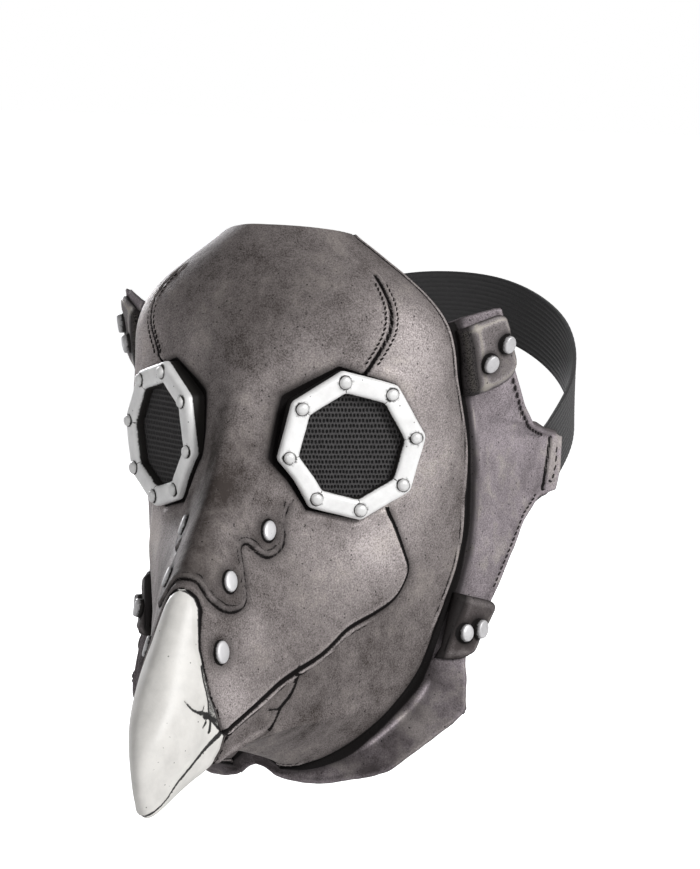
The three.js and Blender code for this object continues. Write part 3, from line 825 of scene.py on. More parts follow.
# joint behind the pale tip in the side view, and what closes the cut in front of it
tipBack = np.array([
    [-66.4, -51.7], [-65.4, -54], [-65.6, -58], [-67.6, -63], [-70.7, -72], [-71.5, -80.6], [-70.9, -90],
    [-66, -102], [-62.3, -105.5], [-63.3, -111], [-65.3, -114], [-66.4, -117], [-70, -126], [-70, -150]])
tipCut = {"front": [[-130, -150], [-130, -42]], "half": 60, "shift": 0.3}
linePoints = {name: lineOnShell(table) for name, table in seamLines.items()}
# patches of dry-brushed tone, painted highlight and painted shade: row, across, reach, amount
toneAndLightSpots = [
    (2.39, 0.155, 13, 0.10), (3.54, 0.765, 14, 0.24), (3.03, 0.828, 18, 0.27), (4.58, 0.725, 13, 0.60),
    (4.48, 0.52, 15, 0.05), (5.2, 0.64, 20, 0.14), (6.92, 0.468, 13, 0.42), (4.4, 0.895, 16, 0.11),
    (1.69, 0.688, 18, 0.43), (2.2, 0.6, 14, 0.14), (9.45, 0.873, 18, 0.02), (4.36, 0.065, 17, -0.08),
    (2.74, 0.0, 15, -0.06), (1.2, 0.0, 30, -0.12), (7.56, 0.778, 30, -0.05), (7.8, 0.58, 12, -0.06),
    (8.6, 0.8, 22, -0.03), (3.2, 0.14, 10, -0.13), (5.9, 0.5, 14, 0.08), (3.8, 0.06, 12, -0.12),
    (4.0, 0.8, 14, 0.07), (1.84, 0.29, 11, 0.16), (3.67, 0.15, 9, -0.10), (4.6, 0.04, 8, -0.14),
    (4.34, 0.25, 8, 0.16), (5.74, 0.44, 9, 0.13), (6.3, 0.82, 14, -0.07), (4.1, 0.0, 10, -0.09),
    (3.5, 0.0, 9, -0.07), (4.3, 0.0, 9, -0.07), (5.0, 0.52, 10, -0.06),
]


def cheekAcross(rows):
    table = np.array(seamLines["cheek"])
    return np.interp(rows, np.append(table[:, 0], 9.4), np.append(table[:, 1], 0.3))


def tipFront(points):
    # distance behind the joint at the same height
    return points[..., 1] - np.interp(-points[..., 2], -tipBack[:, 1], tipBack[:, 0])


def tipGap(points):
    # distance behind the joint with the pale tip, in the side view
    return np.where(tipFront(points) < 0, -1, 1) * distanceTo(points[:, 1:], tipBack)


# relief on the shell: humps are amount, centre, width; fades are amount, start, reach; spans are in rows

# cheek panel: proud lip with a dark seam and painted shade behind it, a painted highlight on the lip, and
# along the mouth a piped bead with a painted highlight
cheekSet = {
    "starts": (3.86, 4.05), "ends": (8.55, 8.7), "mouthStarts": (5.75, 6.2), "lipFoot": 0.3,
    "lipRound": (0.0, 1.3), "lipBack": (1.5, 12), "drop": 0.6, "mouthDrop": 0.35, "dropReach": (0.6, 3.4),
    "bead": (0.8, 2.2, 0.7), "beadGroove": (-0.3, 3.3, 0.6), "seamAt": 0.1, "mouthSeamAt": 0.4,
    "seamHalf": 1.0, "mouthSeamHalf": 0.15, "fineAt": 3.2, "fineHalf": 0.2, "seamShade": (0.75, 0.9, 1.5),
    "behindShade": (0.30, 0, 6), "lipDarkening": (0.16, 0, 2), "lipHighlight": (0.22, 1.2, 0.9),
    "behindShadeRub": (-0.10, 0, 8), "beadHighlight": (0.55, 2.2, 0.5)}


def cheekPanel(relief, p, rows, t):
    s = cheekSet
    d = distanceTo(p, linePoints["cheek"][0]) * np.where(t > cheekAcross(rows), 1, -1)
    here = window(s["starts"], s["ends"], rows)
    mouth = here * ease(*s["mouthStarts"], rows)
    lip = (1 - ease(*s["lipBack"], -d)) * (s["lipFoot"] + (1 - s["lipFoot"]) * ease(*s["lipRound"], -d))
    behind = (s["drop"] + s["mouthDrop"] * mouth) * (ease(*s["dropReach"], d) - 1)
    relief.height += np.where(d < 0, lip, behind) * here
    relief.height += mouth * (hump(d, s["bead"]) + hump(d, s["beadGroove"]))
    seam = np.abs(d - s["seamAt"] - s["mouthSeamAt"] * mouth) - s["seamHalf"] - s["mouthSeamHalf"] * mouth
    relief.draw(seam, here > 0.5)
    relief.draw(np.abs(d - s["fineAt"]) - s["fineHalf"], mouth > 0.5)
    # painted shade behind the lip, painted highlights on the lip and the bead
    relief.darken((here - mouth) * np.where(d > 0, fade(d, s["seamShade"]), 0))
    relief.darken(here * np.where(d > 0, fade(d, s["behindShade"]), fade(-d, s["lipDarkening"])))
    relief.rub_highlight += here * np.where(d < 0, hump(-d, s["lipHighlight"]), fade(d, s["behindShadeRub"]))
    relief.rub_highlight += mouth * hump(d, s["beadHighlight"])


# bridge panel with its scalloped lobes, with a painted highlight inside their edge
bridgeSet = {
    "top": [[3.0, 0.0], [3.0, 0.43]], "starts": (3.7, 3.95), "flattens": (10, 26), "lipFoot": 0.3,
    "lipRound": (0, 1.4), "lipBack": (2.0, 6), "dip": 0.4, "dipReach": (0.3, 2.6), "crackle": (1, 2.6, 31),
    "seamAt": 0.1, "seamHalf": 0.34, "seamRagged": 0.2, "crackAt": -2.3, "crackHalf": 0.1,
    "crackRagged": 0.3, "outerGrime": (0.6, 0, 3.0), "innerGrime": 0.66, "crackleGrime": 0.4,
    "innerReach": 4.5, "lipHighlight": (0.20, 1.0, 0.7), "hollowRub": (-0.10, 4.5, 3)}


def bridgePanel(relief, p, rows, t):
    s = bridgeSet
    outline = np.vstack([linePoints["scallop"][1], s["top"]])
    inside = insideOutline(t, rows, outline[:, ::-1])
    d = distanceTo(p, linePoints["scallop"][0]) * np.where(inside, -1, 1)
    here = ease(*s["starts"], rows)
    near = 1 - ease(*s["flattens"], np.maximum(-d, 0))
    lip = s["lipFoot"] * (1 - ease(*s["lipBack"], -d)) + (1 - s["lipFoot"]) * ease(*s["lipRound"], -d)
    dip = s["dip"] * (ease(*s["dipReach"], d) - 1)
    relief.height += np.where(d < 0, lip, dip) * here * near
    crackle = waves(p, s["crackle"])
    relief.draw(np.abs(d - s["seamAt"]) - s["seamHalf"] - s["seamRagged"] * crackle, here > 0.5)
    crack = np.abs(d - s["crackAt"] + crackle) - s["crackHalf"] - s["crackRagged"] * crackle
    relief.draw(crack, (here > 0.5) & (d < 0))
    inner = fade(-d, (s["innerGrime"] + s["crackleGrime"] * crackle, 0, s["innerReach"]))
    relief.darken(here * np.where(d > 0, fade(d, s["outerGrime"]), inner))
    # painted highlight along the inside of the lobes' edge
    relief.rub_highlight += here * (d < 0) * (hump(-d, s["lipHighlight"]) + hump(-d, s["hollowRub"]))


# brow seam: a dark fold between two lips with painted highlights, with stitches on both sides
browSet = {"fold": [(0.5, 1.5, 0.8), (-1.0, 0, 0.75), (-0.25, 2.9, 0.7)], "half": 0.72,
           "shade_grime": (0.4, 0.7, 1.2), "rub_highlight": (0.25, 1.45, 0.5), "beside": 2.35, "rows": (0.7, 2.0),
           "rise": 0.08, "stitch": {"pitch": 2.1, "length": 1.75, "radius": 0.4, "slant": 0.35},
           "stitchPaint": plainPaint(0.85, 0.15)}


def browSeam(relief, p):
    d = distanceTo(p, linePoints["brow"][0])
    relief.height += sum(hump(d, part) for part in browSet["fold"])
    relief.draw(d - browSet["half"])
    relief.darken(fade(d, browSet["shade_grime"]))
    # painted highlight along the lips beside the fold
    relief.rub_highlight += hump(d, browSet["rub_highlight"])


# lower bill: a raised panel whose edge overhangs in a deep wrinkle, over a sunken throat in painted shade; a
# painted highlight along the panel's edge
billSet = {
    "upperEdge": [[8.4, 0.44], [7.53, 0.492], [7.17, 0.54], [6.8, 0.578], [6.56, 0.62]],
    "starts": (6.42, 6.75), "creaseDarkening": (0.5, 0, 2.4), "fork": (-0.5, 0, 0.8), "forkHalf": 0.35,
    "wrinkleAt": 0.35, "wrinkleHalf": 1.0, "wrinkleSwell": (0.25, 7.4, 0.25), "wrinkleEnds": (8.0, 8.25),
    "clearOfLow": 0.8, "rise": 0.55, "riseReach": (0, 2.4), "dipReach": (0.4, 3.0), "reach": (-30, 8),
    "fromRow": 6.3, "fromAcross": 0.4, "throatRow": 7.3, "throatAcross": 0.42, "throat": (-0.5, 0, 9),
    "throatShade": (0.34, 0, 5), "rub_highlight": -0.02, "edgePaintedLight": (0.2, 1.6, 0.9)}


def lowerBill(relief, p, rows, t):
    s = billSet
    crease, low, fork = (distanceTo(p, linePoints[name][0]) for name in ("crease", "billLow", "creaseFork"))
    starts = ease(*s["starts"], rows)
    ring = np.vstack([linePoints["crease"][1], linePoints["billLow"][1], s["upperEdge"]])
    bill = insideOutline(t, rows, ring[:, ::-1])
    d = np.minimum(crease, low) * np.where(bill, -1, 1)
    half = (s["wrinkleHalf"] + hump(rows, s["wrinkleSwell"])) * starts * (1 - ease(*s["wrinkleEnds"], rows))
    relief.draw(np.abs(d - s["wrinkleAt"]) - half, low > s["clearOfLow"])
    relief.draw(fork - s["forkHalf"])
    panel = s["rise"] * np.where(d < 0, ease(*s["riseReach"], -d), ease(*s["dipReach"], d) - 1)
    near = (d > s["reach"][0]) & (d < s["reach"][1]) & (rows > s["fromRow"]) & (t > s["fromAcross"])
    throat = ~bill & (rows > s["throatRow"]) & (t > s["throatAcross"])
    relief.height += starts * panel * near + hump(fork, s["fork"])
    relief.height += np.where(throat, hump(low, s["throat"]), 0)
    # darker along the wrinkle, painted shade in the throat, painted highlight on the panel's edge
    relief.darken(starts * fade(crease, s["creaseDarkening"]))
    relief.darken(np.where(throat, fade(low, s["throatShade"]), 0))
    relief.rub_highlight += np.where(bill, s["rub_highlight"] + hump(-d, s["edgePaintedLight"]), 0)


# joint with the pale tip: the latex dips towards it
jointSet = {"fromRow": 4.6, "dip": 0.6, "dipReach": (0.0, 1.8), "lip": (0.35, 2.4, 1.2), "half": 0.45,
            "topHalf": 0.5, "topRows": (5.3, 5.8), "shade_grime": (0.45, 0, 2.2)}


def tipJoint(relief, p, rows):
    s = jointSet
    d = tipGap(p)
    low = rows > s["fromRow"]
    relief.height += np.where(low, hump(d, s["lip"]) - s["dip"] * (1 - ease(*s["dipReach"], d)), 0)
    relief.draw(d - s["half"] - s["topHalf"] * (1 - ease(*s["topRows"], rows)), low)
    relief.darken(np.where(low, fade(d, s["shade_grime"]), 0))


# painted shade in the recess round each eye frame, wide towards the nose and narrow behind, with a painted
# highlight on the side away from it: pairs are least and more at the nose
recessSet = {"lift": 22, "gap": -8, "towardsNose": (0.40, -0.62, 0.10), "sharpness": 1.8,
             "width": (0.15, 4.4),
             "blackShare": 0.62, "shade_grime": (0.35, 0.55), "shadeShare": 0.7, "shadeReach": (0.9, 2.0),
             "shadow": (0.34, 0, 10), "ringHeight": 0.8, "ringAt": (3.0, 2.5), "ringWidth": 2.2,
             "foot": (-0.6, 0, 1.5), "rub_highlight": (0.2, 1.6, 1.0)}


def eyeRecessShade(relief, p):
    s = recessSet
    gap, lift, x, y = octagonGap(p, 1)
    around = (np.abs(lift) < s["lift"]) & (gap > s["gap"])
    way = unit(np.stack([x, y], 1))
    level, inward, upward = s["towardsNose"]
    nose = np.clip(level + inward * way[:, 0] + upward * way[:, 1], 0, 1) ** s["sharpness"]
    wide, shade_grime, reach, ringAt = (s[k][0] + s[k][1] * nose for k in ("width", "shade_grime", "shadeReach", "ringAt"))
    # painted black shade and painted shadow towards the nose, painted highlight on the far side
    relief.draw(gap - wide * s["blackShare"], around)
    relief.darken(np.where(around, fade(gap, (shade_grime, wide * s["shadeShare"], reach)), 0))
    relief.darken(np.where(around, nose * fade(gap, s["shadow"]), 0))
    ring = hump(gap, (s["ringHeight"], ringAt, s["ringWidth"]))
    relief.height += np.where(around, ring + fade(gap, s["foot"]), 0)
    relief.rub_highlight += np.where(around, (1 - nose) * hump(gap, s["rub_highlight"]), 0)


# grime and painted contact shade in a dip round each beak rivet
rivetBedSet = {"near": 9, "ring": 0.75, "shade_grime": (0.66, 3.9, 3.2), "dip": (-0.3, 4.4, 1.2)}


def beakRivetBeds(relief, p):
    shape = rivetShapes["beak"]
    for row, place in beakRivetSpots:
        spot, normal = shellSpot(row, place)
        across, upward = rivetAxes(normal)
        rel = p - spot
        d = np.linalg.norm(rel, axis=1)
        oval = np.hypot(rel @ across / shape["wide"], rel @ upward / shape["tall"])
        # painted shade in a ring round the rivet
        relief.draw(oval - shape["radius"] - rivetBedSet["ring"], d < rivetBedSet["near"])
        relief.darken(fade(d, rivetBedSet["shade_grime"]))
        relief.height += hump(d, rivetBedSet["dip"])


# rear edge: painted black shade where it curls in and painted shade towards it, then a light bead with a
# painted highlight and a fine line; plainer along the jaw
edgeSet = {"steps": 240, "jawStarts": (6.2, 7.0), "jawEnds": (9.8, 10.4), "bead": (0.35, 2.4, 0.6),
           "beadGroove": (-0.3, 3.4, 0.6), "curl": 0.8, "curlReach": (0, 1.8), "jawCurl": (-0.7, 0, 2.0),
           "black": 1.75, "blackJaw": -1.1, "blackEnds": 2, "fineAt": 3.3, "fineHalf": 0.22, "fineJaw": -0.7,
           "shade_grime": 0.45, "shadeJaw": 0.15, "shadeReach": 3.5, "beadHighlight": (0.4, 2.45, 0.4),
           "edgePaintedLight": (-0.07, 0, 9)}


def rearEdge(relief, p, rows):
    s = edgeSet
    edge = shellSurface(np.linspace(0, lastRow, s["steps"]), np.ones((s["steps"], 1)))[:, 0]
    d = distanceTo(p, edge)
    jaw = window(s["jawStarts"], s["jawEnds"], rows)
    bead = hump(d, s["bead"]) + hump(d, s["beadGroove"]) - s["curl"] * (1 - ease(*s["curlReach"], d))
    relief.height += (1 - jaw) * bead + jaw * fade(d, s["jawCurl"])
    fine = np.abs(d - s["fineAt"]) - s["fineHalf"] - s["fineJaw"] * jaw
    relief.draw(np.where(d > s["blackEnds"], fine, d - s["black"] - s["blackJaw"] * jaw))
    # painted shade towards the curled edge, painted highlight on the bead
    relief.darken(fade(d, (s["shade_grime"] + s["shadeJaw"] * jaw, 0, s["shadeReach"])))
    relief.rub_highlight += (1 - jaw) * hump(d, s["beadHighlight"]) + fade(d, s["edgePaintedLight"])


# face shell; column runs are start, end and spacing as distances from the ridge or behind the cheek seam
shellSet = {
    "wall": 2.0, "roll": 0.7, "rub_highlight": 0.275, "sag": (0.4, 24.0, 1), "dents": (0.12, 7.0, 2), "innerStep": 4,
    "rimPaint": plainPaint(0.5), "sharp": 55,
    "rowSpacing": [(0, 2.0), (1.0, 2.0), (1.2, 0.95), (2.2, 0.95), (2.5, 1.7), (3.3, 1.7), (3.7, 0.66),
                   (5.6, 0.66), (6.0, 0.82), (9.0, 0.9), (9.3, 2.2), (11, 2.6)],
    "ridgeToSeam": 62.0, "seamToEdge": 27.0,
    "ridgeRuns": [(0, 34, 0.66), (34, 46, 0.75), (46, 58.4, 1.1)], "beforeSeam": [2.7, 1.9, 1.2, 0.6, 0.2, 0],
    "afterSeam": [0.35, 0.8, 1.4, 2.1, 2.9], "edgeRuns": [(3.6, 15, 0.6), (15.6, 23.4, 0.95)],
    "beforeEdge": [3.3, 2.5, 1.7, 1.0, 0.4, 0]}
hollowSet = {"blur": 9.0, "across": (0.6, 0.72), "acrossEnds": (0.92, 1.0), "rows": (7.7, 8.4),
             "rowEnds": (9.9, 10.4)}


def shellRelief(points, rows, across):
    # height and paint masks at each point, for one half and its mirror
    p = foldOver(points)
    t = np.abs(across)
    relief = Relief(len(p), shellSet["rub_highlight"])
    # dry-brushed tone, painted highlights and painted shade in patches
    for row, place, reach, amount in toneAndLightSpots:
        relief.rub_highlight += amount * bell(np.linalg.norm(p - shellSpot(row, place)[0], axis=1), 0, reach)
    cheekPanel(relief, p, rows, t)
    bridgePanel(relief, p, rows, t)
    browSeam(relief, p)
    lowerBill(relief, p, rows, t)
    tipJoint(relief, p, rows)
    eyeRecessShade(relief, p)
    beakRivetBeds(relief, p)
    rearEdge(relief, p, rows)
    relief.height += waves(points, shellSet["sag"]) + waves(points, shellSet["dents"])
    return relief


def shellRowsFine():
    s = np.linspace(0, lastRow, 2201)
    path = shellSurface(s, np.full((len(s), 1), 0.3))[:, 0]
    speed = np.linalg.norm(np.gradient(path, s, axis=0), axis=1)
    spacing = np.interp(s, *zip(*shellSet["rowSpacing"]))
    run = np.concatenate([[0], np.cumsum((speed / spacing)[:-1] * np.diff(s))])
    return np.interp(np.linspace(0, run[-1], int(run[-1]) + 1), run, s)


def shellColumnsFine(rows):
    # one column follows the cheek seam
    full, rest = shellSet["ridgeToSeam"], shellSet["seamToEdge"]
    ridgeRuns, edgeRuns = ([np.arange(*run) for run in shellSet[k]] for k in ("ridgeRuns", "edgeRuns"))
    inner = np.concatenate(ridgeRuns + [full - np.array(shellSet["beforeSeam"])])
    outer = np.concatenate([shellSet["afterSeam"]] + edgeRuns + [rest - np.array(shellSet["beforeEdge"])])
    seam = cheekAcross(rows)[:, None]
    half = np.hstack([inner[None] / full * seam, seam + outer[None] / rest * (1 - seam)])
    return np.hstack([-half[:, :0:-1], half])


def prismCutter(outline, reach):
    # closed prism from an outline moved to two places
    count = len(outline)
    points = np.vstack([outline + reach[0], outline + reach[1]])
    faces = [tuple(range(count))[::-1], tuple(range(count, 2 * count))] + tubeFaces(2, count)
    return makeObject("cutter", points, faces, smooth=False)


def eyeCutter(side):
    # a hair inside the frame's wall, so that no slit shows from behind
    loop = octagonLoop(eyeSet["radius"] - eyeSet["holeInset"], eyeSet["cornerRound"], side)
    out = eyeAxes(side)[3]
    outline = inEye(np.hstack([loop, np.zeros((len(loop), 1))]), side)
    return prismCutter(outline, [reach * out for reach in eyeSet["holeReach"]])


def tipCutter():
    outline = np.vstack([tipBack + [tipCut["shift"], 0], tipCut["front"]])
    outline = np.column_stack([np.zeros(len(outline)), outline])
    return prismCutter(outline, [np.array([side * tipCut["half"], 0, 0]) for side in (1, -1)])


def easeHollow(base, normals, rows, t):
    # the fold above the chin is evened out along the rows
    order = np.arange(len(rows))
    blur = np.exp(-((order[:, None] - order[None]) / hollowSet["blur"]) ** 2)
    soft = (blur / blur.sum(1, keepdims=True) @ base.reshape(len(rows), -1)).reshape(base.shape)
    share = window(hollowSet["across"], hollowSet["acrossEnds"], t)
    share = (share * window(hollowSet["rows"], hollowSet["rowEnds"], rows)[:, None])[..., None]
    base = base + share * (soft - base)
    return base, unit(normals + share * (gridNormals(base) - normals))


def buildShell():
    rows = shellRowsFine()
    across = shellColumnsFine(rows)
    base = shellSurface(rows, across)
    normals = shellNormals(rows, across)
    relief = shellRelief(base.reshape(-1, 3), np.repeat(rows, across.shape[1]), across.ravel())
    base, normals = easeHollow(base, normals, rows, np.abs(across))
    outer = base + relief.height.reshape(across.shape)[..., None] * normals
    deep = base - shellSet["wall"] * normals
    inner = everyNth(deep, shellSet["innerStep"], shellSet["innerStep"])
    points, faces = wallMesh(outer, inner, roll=shellSet["roll"])
    obj = makeObject("faceShell", points, faces)
    for side in (1, -1):
        cutWith(obj, eyeCutter(side))
    cutWith(obj, tipCutter())
    # the cut edges take their paint from these points, close together on the lining too
    lining = np.vstack([deep.reshape(-1, 3), ((deep[1:] + deep[:-1]) / 2).reshape(-1, 3)])
    lined = inner.size // 3
    masks = spreadMasks(relief.masks(), (lined, liningPaint),
                        (len(points) - across.size - lined, shellSet["rimPaint"]), (len(lining), liningPaint))
    copyMasks(obj, np.vstack([points, lining]), masks)
    obj.data.polygons.foreach_set("use_smooth", [True] * len(obj.data.polygons))
    obj.data.set_sharp_from_angle(angle=math.radians(shellSet["sharp"]))
    finishPiece(obj, shellLatex, ["face_shell"])
    print("face shell:", len(obj.data.polygons), "faces")


def buildBrowStitches():
    places = lineOnShell(seamLines["brow"], 0.4)[1]
    places = places[(places[:, 0] > browSet["rows"][0]) & (places[:, 0] < browSet["rows"][1])]
    rows, middle = places[:, 0], places[:, 1:]
    d = 0.01
    scale = np.linalg.norm(shellSurface(rows, middle + d) - shellSurface(rows, middle), axis=2) / d
    parts = []
    for way in (1, -1):
        across = middle + way * browSet["beside"] / scale
        base, normals = shellSurface(rows, across)[:, 0], shellNormals(rows, across)[:, 0]
        height = shellRelief(base, rows, across[:, 0]).height + browSet["rise"]
        parts += stitchBothSides(base + normals * height[:, None], normals, browSet["stitch"])
    points, faces = joinParts(parts)
    obj = makeObject("browStitches", points, faces)
    setMasks(obj, {name: np.full(len(points), value) for name, value in browSet["stitchPaint"].items()})
    finishPiece(obj, shellLatex, [])


buildShell()
buildBrowStitches()

# pale beak tip: mouth line, dark sliver along its rear edge and cracks
tipSet = {
    "rows": 250, "columns": 170, "evenShare": 0.35, "crowding": 1.2, "wall": 2.0, "innerStep": 4,
    "dents": (0.15, 14.0, 3), "mouthDip": (-0.8, 0, 0.8), "setBack": 0.35, "setBackReach": (0, 1.2),
    "mouthLip": (0.3, 1.8, 1.1), "corner": (7.55, 8.1), "mouthAt": -0.45, "cornerAt": -0.2,
    "mouthHalf": 1.05, "cornerHalf": 0.4, "mouthGrime": (0.28, 0, 1.4),
    "border": 0.5, "borderReach": (0.2, 3.0), "rim": 0.4, "lowRim": -0.2, "lowRimRows": (7.5, 7.8),
    "rimReach": (0.0, 0.9), "rimHalf": 0.6, "lowRimHalf": -0.3, "lowHalfRows": (7.6, 8.0),
    "rimGrime": (0.25, 0.4, 0.9), "sliverHalf": 0.55, "sliverRows": (6.35, 7.52), "sliverGrime": 0.62,
    "sliverSink": 0.35, "sliverDip": (-0.3, 0, 0.7), "crackDip": (-0.45, 0, 0.6), "crackStarts": (6.72, 7.1),
    "crackThin": 0.35, "crackUneven": (0.8, 1.6, 22), "edgePaint": plainPaint(0.9)}
tipMouth = [[7.5, 0.494], [7.53, 0.492], [7.88, 0.45], [8.24, 0.418], [8.48, 0.363], [8.68, 0.305],
            [8.76, 0.22],
            [8.76, 0.117], [8.76, 0.0]]
tipSliver = [[6.2, 0.305], [6.44, 0.333], [6.64, 0.36], [6.84, 0.383], [7.05, 0.403], [7.3, 0.44],
             [7.52, 0.478]]
tipCracks = [
    ([(6.72, 0.268), (6.82, 0.295), (6.95, 0.338), (7.02, 0.373), (7.06, 0.395), (7.18, 0.415), (7.36, 0.427),
      (7.47, 0.43)], 0.6),
    ([(7.11, 0.41), (7.31, 0.443), (7.45, 0.465), (7.56, 0.485)], 0.55),
    ([(7.06, 0.395), (7.2, 0.402), (7.33, 0.4)], 0.45),
    ([(7.0, 0.365), (6.95, 0.372), (6.87, 0.37)], 0.35),
    ([(7.1, 0.385), (7.16, 0.42), (7.25, 0.445)], 0.7),
]


def tipReach(rows):
    # place across where the surface meets the joint behind the tip
    t = np.linspace(0, 0.8, 321)
    behind = tipFront(shellSurface(rows, np.repeat(t[None], len(rows), 0)))
    k = np.clip(np.argmax(behind > 0, axis=1), 1, len(t) - 1)
    i = np.arange(len(rows))
    low, high = behind[i, k - 1], behind[i, k]
    return np.maximum(t[k - 1] + (t[k] - t[k - 1]) * np.clip(low / (low - high), 0, 1), 0.02)


def tipSpan():
    # first and last row at which the ridge lies on the tip
    rows = np.linspace(4.8, 10.4, 1121)
    on = rows[tipFront(shellSurface(rows, np.zeros((len(rows), 1)))[:, 0]) < 0]
    return on[0] + 0.01, on[-1] - 0.01


def mouthOnTip(relief, p, r, t):
    # mouth line, with the lower bill set back a little
    s = tipSet
    mouth, places = lineOnShell(tipMouth, 0.6)
    d = distanceTo(p, mouth)
    below = np.where(r > np.interp(t, places[::-1, 1], places[::-1, 0]), 1, -1) * d
    corner = 1 - ease(*s["corner"], r)
    relief.height += hump(d, s["mouthDip"]) - s["setBack"] * ease(*s["setBackReach"], below)
    relief.height += hump(-below, s["mouthLip"]) * (below < 0)
    relief.draw(np.abs(below - s["mouthAt"] - s["cornerAt"] * corner) - s["mouthHalf"]
                - s["cornerHalf"] * corner)
    relief.darken(fade(d, s["mouthGrime"]))


def borderOnTip(relief, p, r, t):
    # rounded border and the dark sliver beside it
    s = tipSet
    inwards = -tipGap(p)
    rim = s["rim"] + s["lowRim"] * ease(*s["lowRimRows"], r)
    relief.height += s["border"] * ease(*s["borderReach"], inwards) - rim * (1 - ease(*s["rimReach"], inwards))
    relief.draw(inwards - s["rimHalf"] - s["lowRimHalf"] * ease(*s["lowHalfRows"], r))
    sliver = distanceTo(p, lineOnShell(tipSliver, 0.6)[0])
    first, last = s["sliverRows"]
    between = (r > first) & (r < last) & (t > np.interp(r, *np.array(tipSliver).T))
    relief.draw(sliver - s["sliverHalf"])
    relief.darken(np.where(between, s["sliverGrime"], fade(inwards, s["rimGrime"])))
    relief.height += hump(sliver, s["sliverDip"]) - np.where(between, s["sliverSink"], 0)


def cracksOnTip(relief, points, r):
    s = tipSet
    widen = s["crackThin"] + (1 - s["crackThin"]) * ease(*s["crackStarts"], r)
    widen *= 1 + waves(points, s["crackUneven"])
    for crack, width in tipCracks:
        d = distanceTo(points, lineOnShell(crack, 0.5)[0])
        relief.height += hump(d, s["crackDip"])
        relief.draw(d - width * widen)


def buildTip():
    k = np.linspace(0, 1, tipSet["rows"])
    top, bottom = tipSpan()
    even = tipSet["evenShare"]
    rows = top + (bottom - top) * (even * k + (1 - even) * (0.5 - 0.5 * np.cos(np.pi * k)))
    q = np.linspace(-1, 1, tipSet["columns"])
    q = np.sign(q) * (1 - (1 - np.abs(q)) ** tipSet["crowding"])
    across = tipReach(rows)[:, None] * q[None]
    base = shellSurface(rows, across)
    normals = shellNormals(rows, across)
    flat = base.reshape(-1, 3)
    p, r, t = foldOver(flat), np.repeat(rows, len(q)), np.abs(across).ravel()
    relief = Relief(len(flat))
    mouthOnTip(relief, p, r, t)
    borderOnTip(relief, p, r, t)
    cracksOnTip(relief, flat, r)  # on one side only
    relief.height += waves(flat, tipSet["dents"])
    outer = base + relief.height.reshape(across.shape)[..., None] * normals
    inner = everyNth(base - tipSet["wall"] * normals, tipSet["innerStep"], tipSet["innerStep"])
    points, faces = wallMesh(outer, inner)
    obj = makeObject("beakTip", points, faces)
    masks = {name: relief.masks()[name] for name in ("shade_grime", "line")}
    setMasks(obj, spreadMasks(masks, (len(points) - len(flat), tipSet["edgePaint"])))
    finishPiece(obj, tipIvory, ["beak_tip"])
    print("beak tip:", len(obj.data.polygons), "faces")


buildTip()

# eye frames: profile of radius, height and dark paint
frameProfile = [
    (30.1, -11.0, 1.0), (30.1, -7.0, 1.0), (30.1, -3.8, 1.0), (30.2, -3.2, 0.75), (30.3, -2.8, 0.2),
    (30.25, -1.7, 0.12), (29.95, -0.95, 0.05), (29.45, -0.45, 0.0), (28.8, -0.12, 0.0), (28.1, 0.0, 0.0),
    (27.0, 0.05, 0.0), (25.0, 0.05, 0.0), (23.6, 0.0, 0.0), (22.7, -0.15, 0.0), (22.1, -0.5, 0.05),
    (21.7, -1.0, 0.4), (21.4, -1.7, 0.95), (21.2, -2.6, 1.0), (21.2, -4.2, 1.0), (24.0, -4.2, 1.0),
    (27.6, -4.2, 1.0), (27.6, -11.0, 1.0)]
frameSet = {"wobble": (0.006, 8.0, 6), "wobbleShift": 50, "dents": (0.14, 5.0, 7), "dentsAbove": -2,
            "hairline": (19, 24.5), "hairHalf": 0.05, "ringShade": (0.8, 2.65, 0.6), "ringAbove": -0.6,
            "sharp": 50}


def buildFrame(hand, side):
    loops, dark = [], []
    for radius, height, shade in frameProfile:
        loop = octagonLoop(radius, eyeSet["cornerRound"], side)
        loops.append(np.hstack([loop, np.full((len(loop), 1), height)]))
        dark.append(np.full(len(loop), shade))
    flat = np.vstack(loops)
    flat[:, :2] *= 1 + waves(flat + side * frameSet["wobbleShift"], frameSet["wobble"])[:, None]
    flat[:, 2] += waves(flat, frameSet["dents"]) * (flat[:, 2] > frameSet["dentsAbove"])
    relief = Relief(len(flat))
    relief.darken(np.concatenate(dark))
    # hairline from each rivet to the inner corner, painted shade in a ring at its foot
    for angle in cornerAngles(side):
        tip = np.array([math.cos(angle), math.sin(angle)])
        along = flat[:, :2] @ tip
        offset = np.abs(flat[:, 0] * tip[1] - flat[:, 1] * tip[0])
        start, end = frameSet["hairline"]
        relief.draw(offset - frameSet["hairHalf"], (along > start) & (along < end))
        ring = np.linalg.norm(flat[:, :2] - tip * eyeSet["rivetRing"], axis=1)
        relief.darken(fade(ring, frameSet["ringShade"]) * (flat[:, 2] > frameSet["ringAbove"]))
    faces = tubeFaces(len(loops), len(loops[0]), closed=True)
    obj = makeObject("eyeFrame_" + hand, inEye(flat, side), faces, sharp=frameSet["sharp"])
    setMasks(obj, {"shade_grime": relief.shade_grime, "line": relief.line})
    finishPiece(obj, frameSilver, ["eye_frame_" + hand])


